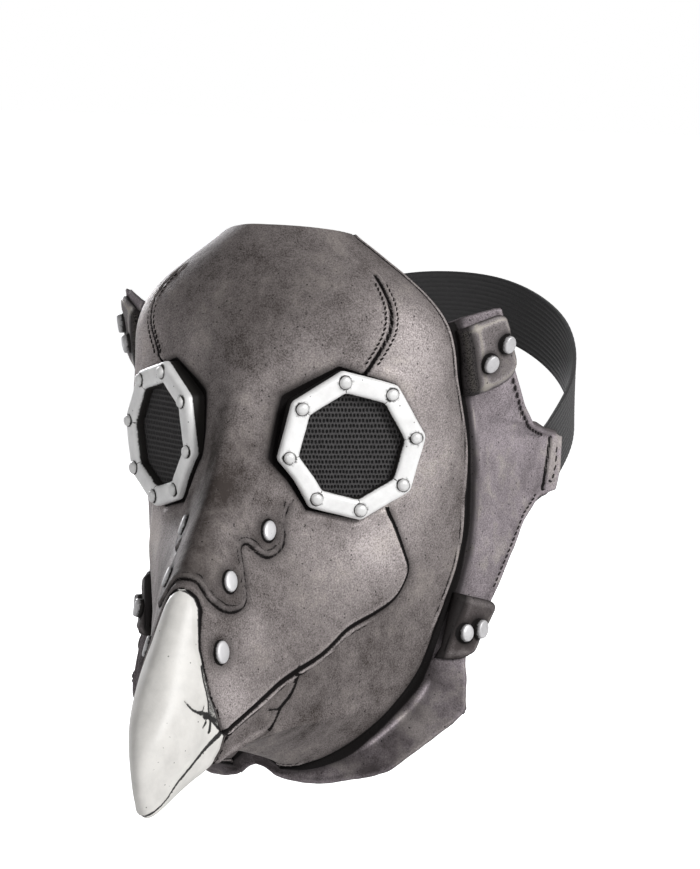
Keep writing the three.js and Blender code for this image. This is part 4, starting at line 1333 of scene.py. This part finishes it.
def buildRivet(name, kind, point, axis, node):
    shape = rivetShapes[kind]
    axis = unit(np.asarray(axis, float))
    across, other = rivetAxes(axis)
    sides = rivetSet["sides"]
    angle = np.arange(sides) * 2 * np.pi / sides
    size = shape["radius"] * (1 + rivetSet["sizeSpread"] * rng.standard_normal())
    oval = 1 + rivetSet["ovalSpread"] * np.cos(2 * angle + rng.random() * rivetSet["ovalTurn"])
    outline = np.cos(angle)[:, None] * across * shape["wide"] + np.sin(angle)[:, None] * other * shape["tall"]
    outline *= size * oval[:, None]
    radii, heights, shades = np.array(shape["profile"]).T
    centres = point + axis * (shape["height"] * heights)[:, None]
    rings = [centre + radius * outline for centre, radius in zip(centres, radii)]
    points = np.vstack(rings + [centres[-1], centres[0]])
    top = len(rings) * sides
    last = top - sides
    faces = tubeFaces(len(rings), sides)
    faces += [(last + j, last + (j + 1) % sides, top) for j in range(sides)]
    faces += [((j + 1) % sides, j, top + 1) for j in range(sides)]
    obj = makeObject(name, points, faces)
    # painted shade round the foot, never lighter than the worn grey
    dark = np.append(np.repeat(np.maximum(shades, shape["wear"]), sides), [shape["wear"], 1])
    setMasks(obj, {"shade_grime": dark, "line": np.full(len(points), noLine)})
    finishPiece(obj, shape["paint"], [node])


# eye mesh: woven screen with a deep closed pit in each cell, painted black as the shade seen through a hole;
# rings of a cell are size, height and painted shade
meshSet = {"pitch": (1.45, 2.05), "reach": 25.0, "top": -4.5, "thick": 0.8, "strand": 0.3, "soft": 0.85,
           "shake": 0.05, "rise": 0.1, "pitFloor": -0.65, "weld": 0.02}
meshHole = 0.5 - meshSet["strand"] / 2
meshRings = [(0.5, 0.0, 0.0), (meshHole + 0.05, -0.04, 0.1), (meshHole, -0.18, 0.6),
             (meshHole * 0.9, -0.6, 1.0)]
meshSquare = np.array([(-1, -1), (0, -1), (1, -1), (1, 0), (1, 1), (0, 1), (-1, 1), (-1, 0)], float)


def buildScreen(hand, side):
    pitch, top = np.array(meshSet["pitch"]), meshSet["top"]
    halfX, halfY = (meshSet["reach"] / pitch).astype(int)
    soft = meshSquare / np.linalg.norm(meshSquare, axis=1, keepdims=True) ** meshSet["soft"]
    around, deep = len(meshSquare), len(meshRings)
    points, faces, pitShades, borders = [], [], [], {}
    for i in range(-halfX, halfX + 1):
        for j in range(-halfY, halfY + 1):
            middle = np.array([i + 0.5 * (j % 2), j]) * pitch
            if np.linalg.norm(middle) > meshSet["reach"]:
                continue
            shake = rng.normal(0, meshSet["shake"], 2)
            start = len(points)
            border = meshSquare * 0.5 * pitch + middle
            for k, (size, drop, dark) in enumerate(meshRings):
                ring = soft * size * pitch + shake + middle if k else border
                rise = meshSet["rise"] * (meshSquare[:, 1] == 0) * (k == 0)
                points += [(c[0], c[1], top + drop + w) for c, w in zip(ring, rise)]
                pitShades += [dark] * around
            floor = len(points)
            points.append((middle[0], middle[1], top + meshSet["pitFloor"]))
            back = floor + 1
            points += [(c[0], c[1], top - meshSet["thick"]) for c in border]
            pitShades += [1.0] + [0.5] * around
            faces += tubeFaces(deep, around, start)
            for m in range(around):
                n = (m + 1) % around
                faces.append((floor - around + m, floor - around + n, floor))
                key = tuple(np.round((np.array(points[start + m]) + points[start + n])[:2], 2))
                borders.setdefault(key, []).append((start + n, start + m, back + m, back + n))
            faces.append(tuple(range(back + around - 1, back - 1, -1)))
    faces += [walls[0] for walls in borders.values() if len(walls) == 1]
    obj = makeObject("eyeMesh_" + hand, inEye(points, side), faces)
    setMasks(obj, {"shade_grime": pitShades})
    weld = obj.modifiers.new("weld", "WELD")
    weld.merge_threshold = meshSet["weld"] * mm
    bake(obj)
    finishPiece(obj, meshBlack, ["eye_mesh_" + hand])


frameRivetLift = 0.05
beakRivetLifts = (0.55, 0.55, 0.15)
for hand, side in handSides:
    buildFrame(hand, side)
    buildScreen(hand, side)
    for k, angle in enumerate(cornerAngles(side)):
        ring = eyeSet["rivetRing"]
        spot = inEye([[ring * math.cos(angle), ring * math.sin(angle), frameRivetLift]], side)[0]
        buildRivet(f"frameRivet_{hand}{k + 1}", "frame", spot, eyeAxes(side)[3], f"frame_rivet_{hand}{k + 1}")
    for k, (row, across) in enumerate(beakRivetSpots):
        spot, normal = shellSpot(row, across * side)
        buildRivet(f"beakRivet_{hand}{k + 1}", "beak", spot + normal * beakRivetLifts[k], normal,
                   f"beak_rivet_{hand}{k + 1}")
print("frames, screens and beak rivets done")

# band behind the shell: shell row of its front edge, and its rear edge
bandTable = np.array([
    [1.15, 80.5, 53.8, 53], [1.5, 81.3, 58.3, 45.1], [1.9, 82.3, 65.9, 29.3], [2.3, 83, 76.6, 14.5],
    [2.6, 82.5, 90.2, 5.2], [2.85, 82, 108.1, 1.1], [3.05, 81.5, 123.8, -1], [3.45, 81.3, 122.9, -15.4],
    [3.75, 81, 118.6, -23.1], [3.9, 80.6, 104.6, -23.9], [4.1, 80, 99.9, -26.9], [4.4, 79, 91.7, -32.6],
    [4.75, 77.8, 86.3, -40.6], [5.5, 74.2, 71.7, -61.7], [6.2, 70.5, 58, -78.9], [6.5, 69.8, 53.7, -84.8],
    [7.0, 71.5, 51.3, -101.1], [7.3, 72, 50.4, -105.2], [7.7, 69, 44.6, -109.7], [8.3, 59, 36.3, -119.2],
    [8.9, 47, 33.4, -128.9], [9.3, 40, 33.9, -131.6], [10, 25.5, 24.9, -134.8], [10.5, 18, 21.8, -134.7],
    [11, 8, 14, -131.5], [11.5, 4, 12, -128.5], [12, 0, 10.5, -127]])
# the band's front: distance behind the shell's edge, depth against the face by the ear and along the jaw
bandFront = np.array([
    (-4.6, -2.6, -2.7), (0.3, -2.35, -3.0), (1.2, -2.15, -3.0), (2.2, -1.95, -2.9), (3.0, -1.85, -2.6),
    (3.6, -1.8, -2.1), (4.1, -1.7, -1.4), (4.5, -1.35, -0.8), (4.9, -0.75, -0.2), (5.3, -0.1, 0.3),
    (5.8, 0.4, 0.65), (6.6, 0.6, 0.8), (8.0, 0.45, 0.5), (9.6, 0.15, 0.15), (11.4, 0, 0)])
bandSet = {
    "wall": 2.0, "roll": 0.6, "innerSteps": (2, 3), "spacing": 0.9, "backShare": 0.7, "frontShare": 0.5,
    "faceColumns": 62, "crowding": 1.2, "shoulder": 5.5, "shoulderDrop": 0.7, "crown": 1.0, "overrun": 1.2,
    "fullWidth": 22, "leastShare": 0.3, "jawRows": (6.3, 7.0), "blur": 3, "blurRows": (5.8, 6.5),
    "chinFrontRows": (9.6, 10.6), "chinTuck": 0.2, "rimPaint": plainPaint(0.4),
    "stitchPaint": plainPaint(0.8, 0.2)}
bandStitchSet = {
    "tries": (0.5, 20, 0.05), "edgeTo": 6.5, "edgeSteps": 150, "rowStep": 0.01, "beside": 0.5,
    "thin": {"pitch": 2.7, "length": 2.0, "radius": 0.36, "slant": 0.15},
    "thick": {"pitch": 3.5, "length": 2.6, "radius": 0.5, "slant": 0.35},
    # rows, distance inside the rear edge, thread, lift
    "lines": [((2.0, 3.0), 2.4, "thick", 0.3), ((3.84, 5.4), 2.3, "thin", 0.12),
              ((3.16, 3.63), 4.4, "thick", 0.8)]}


def jawShare(r):
    return ease(*bandSet["jawRows"], r)


def bandShrink(length):
    # the front profile shrinks where the band is narrow
    return np.clip(length / bandSet["fullWidth"], bandSet["leastShare"], 1)


def bandFrame(r):
    r = np.asarray(r, float)
    shellRow = np.minimum(r, lastRow)
    across = np.minimum(1, 1 + lastRow - r)[:, None]
    front = shellSurface(shellRow, across)[:, 0]
    normal = shellNormals(shellRow, across)[:, 0]
    back = np.stack([np.interp(r, bandTable[:, 0], bandTable[:, k]) for k in (1, 2, 3)], 1)
    return front, normal, back


def bandLength(r):
    front, _, back = bandFrame(r)
    return np.linalg.norm(back - front, axis=1, keepdims=True)


def blurLine(line, reach):
    kernel = np.exp(-np.linspace(-2, 2, 2 * reach + 1) ** 2)
    kernel /= kernel.sum()
    padded = np.pad(line, ((reach, reach), (0, 0)), mode="reflect", reflect_type="odd")
    return np.stack([np.convolve(padded[:, k], kernel, "valid") for k in range(3)], 1)


def bandSurface(r, far, blur=0):
    # points at the distances far behind the shell's edge; blur rounds the rear outline, most of all below
    front, normal, back = bandFrame(r)
    length = np.linalg.norm(back - front, axis=1, keepdims=True)
    if blur:
        soft, sharp = ease(*bandSet["blurRows"], r)[:, None], length
        back = blurLine(back, blur) * (1 - soft) + blurLine(back, 2 * blur) * soft
        length = np.linalg.norm(back - front, axis=1, keepdims=True)
        far = far * (1 + soft * (length / sharp - 1))
    way = (back - front) / length
    start = bandSet["shoulder"]
    along = np.clip((far - start) / (length - start), 0, bandSet["overrun"])
    face = bandSet["crown"] * np.maximum(4 * along * (1 - along), 0)
    face -= bandSet["shoulderDrop"] * (1 - np.minimum(along, 1))
    small = bandShrink(length)
    low = jawShare(r)[:, None]
    depth = [np.interp(far / small, bandFront[:, 0], bandFront[:, k]) for k in (1, 2)]
    lift = face + (depth[0] * (1 - low) + depth[1] * low) * small
    return front[:, None] + way[:, None] * far[..., None] + normal[:, None] * lift[..., None]


def bandRowsFine():
    r = np.linspace(bandTable[0, 0], bandTable[-1, 0], 4000)
    front, _, back = bandFrame(r)
    run = bandSet["backShare"] * runAlong(back) + bandSet["frontShare"] * runAlong(front)
    return np.interp(np.linspace(0, run[-1], int(run[-1] / bandSet["spacing"])), run, r)


def bandColumns(length):
    # distances behind the shell's edge: the front profile, then the face
    front = bandFront[:, 0] * bandShrink(length)
    k = np.linspace(0, 1, bandSet["faceColumns"])[1:]
    rest = front[:, -1:] + (length - front[:, -1:]) * (1 - (1 - k) ** bandSet["crowding"])[None]
    return np.hstack([front, rest])


def bandStitches(rows, inset, look, lift):
    # both sides' stitch rows at a distance inside the rear edge
    s = bandStitchSet
    r = np.arange(*rows, s["rowStep"])
    length = bandLength(r)
    tries = np.arange(*s["tries"])
    grid = bandSurface(r, length - tries)
    edge = bandFrame(np.linspace(bandTable[0, 0], s["edgeTo"], s["edgeSteps"]))[2]
    gap = distanceTo(grid.reshape(-1, 3), edge).reshape(grid.shape[:2])
    far = length - tries[np.argmax(gap > inset, axis=1)][:, None]
    line = bandSurface(r, far)[:, 0]
    beside = bandSurface(r, far - s["beside"])[:, 0]
    normals = unit(np.cross(np.gradient(line, axis=0), line - beside))
    return stitchBothSides(line + normals * lift, normals, look)


def bandGrid():
    # points of the whole band, left then right, with their rows and distances behind the shell's edge
    r = bandRowsFine()
    count, length = len(r), bandLength(r)
    far = bandColumns(length)
    grid = bandSurface(r, far, blur=bandSet["blur"])
    chin = ease(*bandSet["chinFrontRows"], r)[:, None]
    tucked = grid[:, 1] + (grid[:, 1] - grid[:, 2]) * bandSet["chinTuck"]
    grid[:, 0] = grid[:, 0] * (1 - chin) + tucked * chin
    grid[-1, :, 0] = 0
    far = far / bandShrink(length)
    grid, far, r = (np.concatenate([v, v[:-1][::-1]]) for v in (grid, far, r))
    grid[count:, :, 0] *= -1
    return grid, r, far.ravel()


# folded strip over the strap's end, behind a straight fold with a painted shadow line
foldSet = {"rows": [3.05, 3.75], "inset": 9.0, "starts": (3.0, 3.06), "ends": (3.74, 3.8), "behind": 20,
           "rise": 0.8, "edge": (-0.3, 0.3), "groove": (-0.3, -0.6, 0.6), "lineAt": -0.3, "lineHalf": 0.5,
           "shade_grime": (0.45, 0.3, 1.2), "rub_highlight": 0.1, "rubEdge": (0.5, 2.0)}


def foldStrip(relief, flat, rows, far):
    s = foldSet
    fold = bandSurface(s["rows"], bandLength(s["rows"]) - s["inset"])[:, 0]
    along = unit(fold[1] - fold[0])
    behind = bandFrame(s["rows"])[2].mean(0) - fold.mean(0)
    behind = unit(behind - along * (behind @ along))
    end = (foldOver(flat) - fold[0]) @ behind
    strip = window(s["starts"], s["ends"], rows) * (far > s["behind"])
    relief.height += strip * (s["rise"] * ease(*s["edge"], end) + hump(end, s["groove"]))
    # painted shadow line along the fold
    relief.draw(np.abs(end - s["lineAt"]) - s["lineHalf"], strip > 0.5)
    relief.darken(strip * hump(end, s["shade_grime"]))
    relief.rub_highlight += s["rub_highlight"] * strip * ease(*s["rubEdge"], end)


# black groove behind the shell in painted shade, brown front wall, worn ridge with a painted highlight,
# painted shade under the chin and along the jaw, hemmed rear edge
bandLook = {
    "dents": [(0.4, 18.0, 8), (0.2, 5.0, 9), (0.08, 2.6, 10)], "dentsFrom": (4, 8), "hem": (0.3, 1.0, 1.0),
    "hemGroove": (-0.35, 2.7, 0.9), "hemFrom": 8, "hemGrime": (0.3, 0, 2.5), "hemRub": (0.22, 0.9, 0.9),
    "wave": (1, 10.0, 16), "chinRows": (8.6, 9.7), "groove": 4.25, "grooveWave": 0.35, "grooveChin": 1.6,
    "grooveTo": 9, "grooveShade": 0.75, "lipDarkening": 0.5, "lipJaw": 0.2, "lipReach": 0.6, "lipReachJaw": 0.3,
    "lipReachChin": 2, "wallDarkening": 0.85, "wallReach": (4.7, 9.0), "chinShade": 0.85, "chinReach": 4,
    "faceDarkening": 0.16, "faceJaw": 0.22, "faceStart": 6.6, "faceReach": 7, "ridgeAt": 6.0, "ridgeJaw": -0.2,
    "ridgeWidth": 0.7, "ridgeWorn": (-0.45, 0.15), "ridgeChin": 0.8, "ridgeWeak": 0.7, "weakRows": (2.7, 3.2),
    "ridgeClean": 0.7, "rub_highlight": 0.39, "jawShade": -0.275, "ridgeWearHighlight": 0.62, "ridgeWearHighlightJaw": 0.1,
    "earRub": (0.12, 2.7, 0.6), "clouds": [(0.12, 26.0, 41), (0.1, 8.0, 42)],
    "ripple": (0.7, 5.0, 17), "rippleStarts": (3.9, 4.2), "rippleCalms": (7.0, 7.5), "calmShare": 0.8,
    "rippleShares": (1.0, 0.6, 0.25)}


def bandRelief(grid, r, far):
    s = bandLook
    flat, rows = grid.reshape(-1, 3), np.repeat(r, grid.shape[1])
    relief = Relief(len(flat))
    d = distanceTo(flat, grid[::3, -1])
    wave = waves(flat, s["wave"])
    low, chin = jawShare(rows), ease(*s["chinRows"], rows)
    relief.height += sum(waves(flat, look) for look in s["dents"]) * ease(*s["dentsFrom"], far)
    relief.height += (hump(d, s["hem"]) + hump(d, s["hemGroove"])) * (far > s["hemFrom"])
    groove = s["groove"] + s["grooveWave"] * wave + s["grooveChin"] * chin
    # painted black shade in the groove and painted shade just behind it
    lip = fade(far, (s["lipDarkening"] + s["lipJaw"] * low, groove,
                     s["lipReach"] + s["lipReachJaw"] * low + s["lipReachChin"] * chin))
    relief.draw(far - groove, far < s["grooveTo"])
    relief.darken(np.where(far < groove, s["grooveShade"], lip))
    relief.darken(s["wallDarkening"] * (1 - low) * (1 - ease(*s["wallReach"], far)))
    relief.darken(fade(d, s["hemGrime"]))
    # painted shade under the chin; the face darker, most along the jaw
    relief.darken(chin * fade(far, (s["chinShade"], groove, s["chinReach"])))
    relief.darken(fade(far, (s["faceDarkening"] + s["faceJaw"] * low, s["faceStart"], s["faceReach"])))
    ridge = bell(far, s["ridgeAt"] + s["ridgeJaw"] * low, s["ridgeWidth"])
    ridge *= ease(*s["ridgeWorn"], wave) * (1 - s["ridgeChin"] * chin)
    ridge *= 1 - s["ridgeWeak"] * (1 - low) * ease(*s["weakRows"], rows)
    relief.shade_grime *= 1 - s["ridgeClean"] * ridge
    # painted shade along the jaw, painted highlight on the worn ridge
    relief.rub_highlight += s["rub_highlight"] + s["jawShade"] * low + (s["ridgeWearHighlight"] + s["ridgeWearHighlightJaw"] * low) * ridge
    relief.rub_highlight += hump(rows, s["earRub"]) + hump(d, s["hemRub"])
    relief.rub_highlight += sum(waves(flat, look) for look in s["clouds"])
    foldStrip(relief, flat, rows, far)
    return relief


def buildBand():
    grid, r, far = bandGrid()
    normals = gridNormals(grid)
    relief = bandRelief(grid, r, far)
    outer = grid + relief.height.reshape(grid.shape[:2])[..., None] * normals
    # the lower rear edge is cut unevenly
    away = unit(grid[:, -1] - grid[:, -2])
    ripple = waves(grid[:, -1], bandLook["ripple"]) * ease(*bandLook["rippleStarts"], r)
    ripple *= 1 - bandLook["calmShare"] * ease(*bandLook["rippleCalms"], r)
    for k, share in enumerate(bandLook["rippleShares"]):
        outer[:, -1 - k] += away * (ripple * share)[:, None]
    inner = everyNth(grid - bandSet["wall"] * normals, *bandSet["innerSteps"])
    wall = wallMesh(outer, inner, roll=bandSet["roll"])
    parts = [wall]
    for rows, inset, thread, lift in bandStitchSet["lines"]:
        parts += bandStitches(rows, inset, bandStitchSet[thread], lift)
    points, faces = joinParts(parts)
    obj = makeObject("rimBand", points, faces)
    walled, lined = len(wall[0]), inner.size // 3
    setMasks(obj, spreadMasks(relief.masks(), (lined, liningPaint),
                              (walled - len(far) - lined, bandSet["rimPaint"]),
                              (len(points) - walled, bandSet["stitchPaint"])))
    finishPiece(obj, bandLatex, ["rim_band"])
    print("rim band:", len(obj.data.polygons), "faces")


buildBand()

# riveted tabs that lie on the band: rows of the edges at the front and rear end, distances along it
tabSpans = {
    "upper": {"frontTop": 1.3, "frontLow": 2.34, "backTop": 1.2, "backLow": 1.9, "start": 3.9, "end": 1.03,
              "tone": 0.42, "rivets": [(1.82, 0.36), (1.62, 0.81)]},
    "lower": {"frontTop": 5.6, "frontLow": 6.7, "backTop": 5.58, "backLow": 6.44, "start": 4.2, "end": 1.14,
              "tone": 0.05, "rivets": [(6.16, 0.46), (6.02, 0.87)]},
}
tabSet = {"wall": 2.3, "roll": 0.4, "lift": 0.45, "steps": 40, "corner": 0.3, "cornerDraw": 0.3,
          "edgeShare": 0.4,
          "edgeRound": (-0.5, 4.0), "dents": [(0.3, 9.0, 14), (0.12, 3.5, 15)], "edgeGrime": 0.55,
          "borderGrime": (0.3, 0, 3.0), "frontShade": (0.9, 5, 3.0), "rivetShadeGrime": (0.7, 4.2, 1.6),
          "rivetLine": 4.1, "rivetDip": (-0.35, 4.2, 1.3), "borderHighlight": 0.2, "borderAt": (3.0, 1.8),
          "frontHighlight": 1.5, "frontAt": (11.0, 2.5), "mostRubHighlight": 2.0, "edgePaint": plainPaint(0.75, 0.2),
          "rivetSink": 0.2}


def tabGrid(span):
    n = tabSet["steps"]
    p, q = np.meshgrid(np.linspace(-1, 1, n), np.linspace(0, 1, n), indexing="ij")
    over = np.clip((q - (1 - tabSet["corner"])) / tabSet["corner"], 0, 1)
    p = p * (1 - tabSet["cornerDraw"] * (1 - np.sqrt(1 - over ** 2)))
    top = span["frontTop"] + (span["backTop"] - span["frontTop"]) * q
    low = span["frontLow"] + (span["backLow"] - span["frontLow"]) * q
    row = top + (low - top) * (0.5 + 0.5 * p)
    grid = np.zeros((n, n, 3))
    for j in range(n):
        length = bandLength(row[:, j])
        far = span["start"] + (length * span["end"] - span["start"]) * q[:, j:j + 1]
        grid[:, j] = bandSurface(row[:, j], far)[:, 0]
    return grid


def tabSpot(row, along, side):
    d = 0.04

    def at(r, k):
        length = bandLength([r])
        return bandSurface([r], bandSet["shoulder"] + (length - bandSet["shoulder"]) * k)[0, 0]
    normal = unit(np.cross(at(row + d, along) - at(row - d, along), at(row, along + d) - at(row, along - d)))
    turn = np.array([side, 1, 1])
    return at(row, along) * turn, normal * turn


def buildTab(name, hand, side):
    s, span = tabSet, tabSpans[name]
    grid = tabGrid(span)
    if side < 0:
        grid = grid[::-1] * [-1, 1, 1]
    normals = gridNormals(grid)
    n = s["steps"]
    i, j = (v.ravel() for v in np.meshgrid(np.arange(n), np.arange(n), indexing="ij"))
    border = np.min([i, n - 1 - i, j, n - 1 - j], axis=0)
    flat = grid.reshape(-1, 3)
    relief = Relief(len(flat), span["tone"])
    thick = s["edgeShare"] + (1 - s["edgeShare"]) * ease(*s["edgeRound"], border)
    relief.height += s["lift"] + s["wall"] * thick
    relief.height += sum(waves(flat, look) for look in s["dents"])
    relief.darken(np.where(border < 1, s["edgeGrime"], fade(border, s["borderGrime"])))
    # painted shade on the front part and round the rivets
    relief.darken(fade(j, s["frontShade"]))
    for row, along in span["rivets"]:
        d = np.linalg.norm(flat - tabSpot(row, along, side)[0], axis=1)
        relief.darken(fade(d, s["rivetShadeGrime"]))
        relief.draw(d - s["rivetLine"])
        relief.height += hump(d, s["rivetDip"])
    # painted highlights on the border and the front ridge
    relief.rub_highlight += (s["borderHighlight"] + span["tone"]) * bell(border, *s["borderAt"])
    relief.rub_highlight += s["frontHighlight"] * span["tone"] * bell(j, *s["frontAt"])
    outer = grid + relief.height.reshape(n, n)[..., None] * normals
    points, faces = wallMesh(outer, grid + s["lift"] * normals, roll=s["roll"])
    obj = makeObject(f"{name}Tab_{hand}", points, faces)
    setMasks(obj, spreadMasks(relief.masks(s["mostRubHighlight"]), (len(points) - len(flat), s["edgePaint"])))
    finishPiece(obj, tabLatex, [f"{name}_tab_{hand}"])


tabRivetLift = tabSet["lift"] + tabSet["wall"] - tabSet["rivetSink"]
for hand, side in handSides:
    for name, span in tabSpans.items():
        buildTab(name, hand, side)
        for k, (row, along) in enumerate(span["rivets"]):
            point, normal = tabSpot(row, along, side)
            buildRivet(f"{name}TabRivet_{hand}{k + 1}", "tab", point + normal * tabRivetLift, normal,
                       f"{name}_tab_rivet_{hand}{k + 1}")
print("tabs done")

# strap round the back of the head
strapWay = np.array([
    [76.4, 106, -15], [78.0, 117, -11], [78.4, 130, -4.5], [77, 149, 5.5], [70.5, 170, 17], [57.5, 190, 29],
    [39, 204, 38.5], [19.5, 211, 44], [0, 213, 45.5]])
strapSet = {"width": 25.0, "thick": 1.5, "ribs": 13, "ribColumns": 6, "ribHeight": 0.3, "ribRound": 0.7,
            "steps": 320, "knit": 0.07, "knitAlong": 2.1, "knitAcross": 1.3}


def buildStrap():
    s = strapSet
    whole = np.vstack([strapWay, strapWay[-2::-1] * [-1, 1, 1]])
    at = naturalSpline(np.arange(len(whole)), whole)
    last, d = len(whole) - 1, 0.05
    u = np.linspace(0, last, s["steps"])
    along = unit(at(np.minimum(u + d, last)) - at(np.maximum(u - d, 0)))
    outward = unit(np.cross(along, [0, 0, 1]))
    up = np.cross(outward, along)
    k = np.linspace(-0.5, 0.5, s["ribs"] * s["ribColumns"] + 1)
    rib = s["ribHeight"] * np.abs(np.cos(np.pi * (k + 0.5) * s["ribs"])) ** s["ribRound"]
    knit = s["knit"] * np.outer(np.sin(np.arange(len(u)) * s["knitAlong"]),
                                np.cos(np.arange(len(k)) * s["knitAcross"]))
    line = at(u)[:, None] + up[:, None] * (k * s["width"])[None, :, None]
    outer = line + outward[:, None] * (rib[None] - s["ribHeight"] + knit)[..., None]
    inner = line - outward[:, None] * (s["thick"] - s["ribHeight"] + rib[None])[..., None]
    points, faces = wallMesh(outer, inner)
    obj = makeObject("headStrap", points, faces)
    finishPiece(obj, strapElastic, ["head_strap"])
    print("head strap:", len(obj.data.polygons), "faces")


buildStrap()

# studio: pale floor, a white wall to look at and dimmer light from it
stageSet = {"floorDrop": 200.0, "size": 12000.0, "floor": (0.8, 0.8, 0.8), "rough": 0.9, "glow": 0.83,
            "fill": 0.24,
            "white": (1, 1, 1, 1)}


def buildStage():
    corners = ((-1, -1), (1, -1), (1, 1), (-1, 1))
    points = [(x * stageSet["size"], y * stageSet["size"], -stageSet["floorDrop"]) for x, y in corners]
    floor = makeObject("floor", points, [(0, 1, 2, 3)], smooth=False)
    material, tree, shader, _ = startMaterial("paleFloor")
    shader.inputs["Base Color"].default_value = stageSet["floor"] + (1,)
    shader.inputs["Roughness"].default_value = stageSet["rough"]
    shader.inputs["Emission Color"].default_value = stageSet["white"]
    seen = addNode(tree, "ShaderNodeLightPath").outputs["Is Camera Ray"]
    tree.links.new(times(tree, seen, stageSet["glow"]), shader.inputs["Emission Strength"])
    floor.data.materials.append(material)
    world = bpy.data.worlds.new("studio")
    world.use_nodes = True
    tree = world.node_tree
    seen = addNode(tree, "ShaderNodeLightPath").outputs["Is Camera Ray"]
    glow = mixColour(tree, seen, (stageSet["fill"],) * 3 + (1,), stageSet["white"])
    tree.links.new(glow, tree.nodes["Background"].inputs["Color"])
    bpy.context.scene.world = world


# lights in metres and watts, all aimed at the middle of the mask
lightAim = Vector((0, 0, -0.03))
lights = {
    "keyLight": {"place": (1.75, -0.55, 1.0), "size": 0.8, "power": 36, "colour": (1, 1, 1)},
    "frontLight": {"place": (0.7, -2.0, 0.6), "size": 0.8, "power": 6, "colour": (1, 1, 1)},
    "leftLight": {"place": (-1.35, 1.4, 0.5), "size": 0.8, "power": 24, "colour": (0.97, 0.97, 1.0)},
    "fillLight": {"place": (-1.5, -1.2, 0.4), "size": 1.0, "power": 3.6, "colour": (1, 1, 1)},
}


def areaLight(name, look):
    light = bpy.data.lights.new(name, "AREA")
    light.shape = "DISK"
    light.size = look["size"]
    light.energy = look["power"]
    light.color = look["colour"]
    obj = linkObject(name, light)
    obj.location = look["place"]
    obj.rotation_euler = (lightAim - Vector(look["place"])).to_track_quat("-Z", "Y").to_euler()


# camera at the photograph's angle: the part's origin lands on the given pixel
cameraSet = {"azimuth": 23.0, "elevation": 5.0, "roll": 1.5, "distance": 2000.0, "pixelsPerMm": 2.58,
             "origin": (254.4, 442.4), "image": (700, 869), "sensor": 36, "clipEnd": 100}


def buildCamera():
    a, e, turn = (math.radians(cameraSet[k]) for k in ("azimuth", "elevation", "roll"))
    right = Vector((math.cos(a), math.sin(a), 0))
    up = Vector((-math.sin(a) * math.sin(e), math.cos(a) * math.sin(e), math.cos(e)))
    back = Vector((math.sin(a) * math.cos(e), -math.cos(a) * math.cos(e), math.sin(e)))
    right, up = right * math.cos(turn) + up * math.sin(turn), up * math.cos(turn) - right * math.sin(turn)
    width, height = cameraSet["image"]
    offX = (width / 2 - cameraSet["origin"][0]) / cameraSet["pixelsPerMm"]
    offY = (cameraSet["origin"][1] - height / 2) / cameraSet["pixelsPerMm"]
    eyePoint = back * cameraSet["distance"]
    newBack = (eyePoint - right * offX - up * offY).normalized()
    newRight = up.cross(newBack).normalized()
    newUp = newBack.cross(newRight)
    camera = bpy.data.cameras.new("camera")
    camera.sensor_width = cameraSet["sensor"]
    camera.lens = cameraSet["sensor"] * cameraSet["pixelsPerMm"] * cameraSet["distance"] / height
    camera.clip_end = cameraSet["clipEnd"]
    matrix = Matrix((newRight, newUp, newBack)).transposed().to_4x4()
    matrix.translation = eyePoint * mm
    obj = linkObject("camera", camera)
    obj.matrix_world = matrix
    bpy.context.scene.camera = obj


buildStage()
for name, look in lights.items():
    areaLight(name, look)
buildCamera()
bpy.context.scene.view_settings.view_transform = "Standard"
print("stage, lights and camera ready")
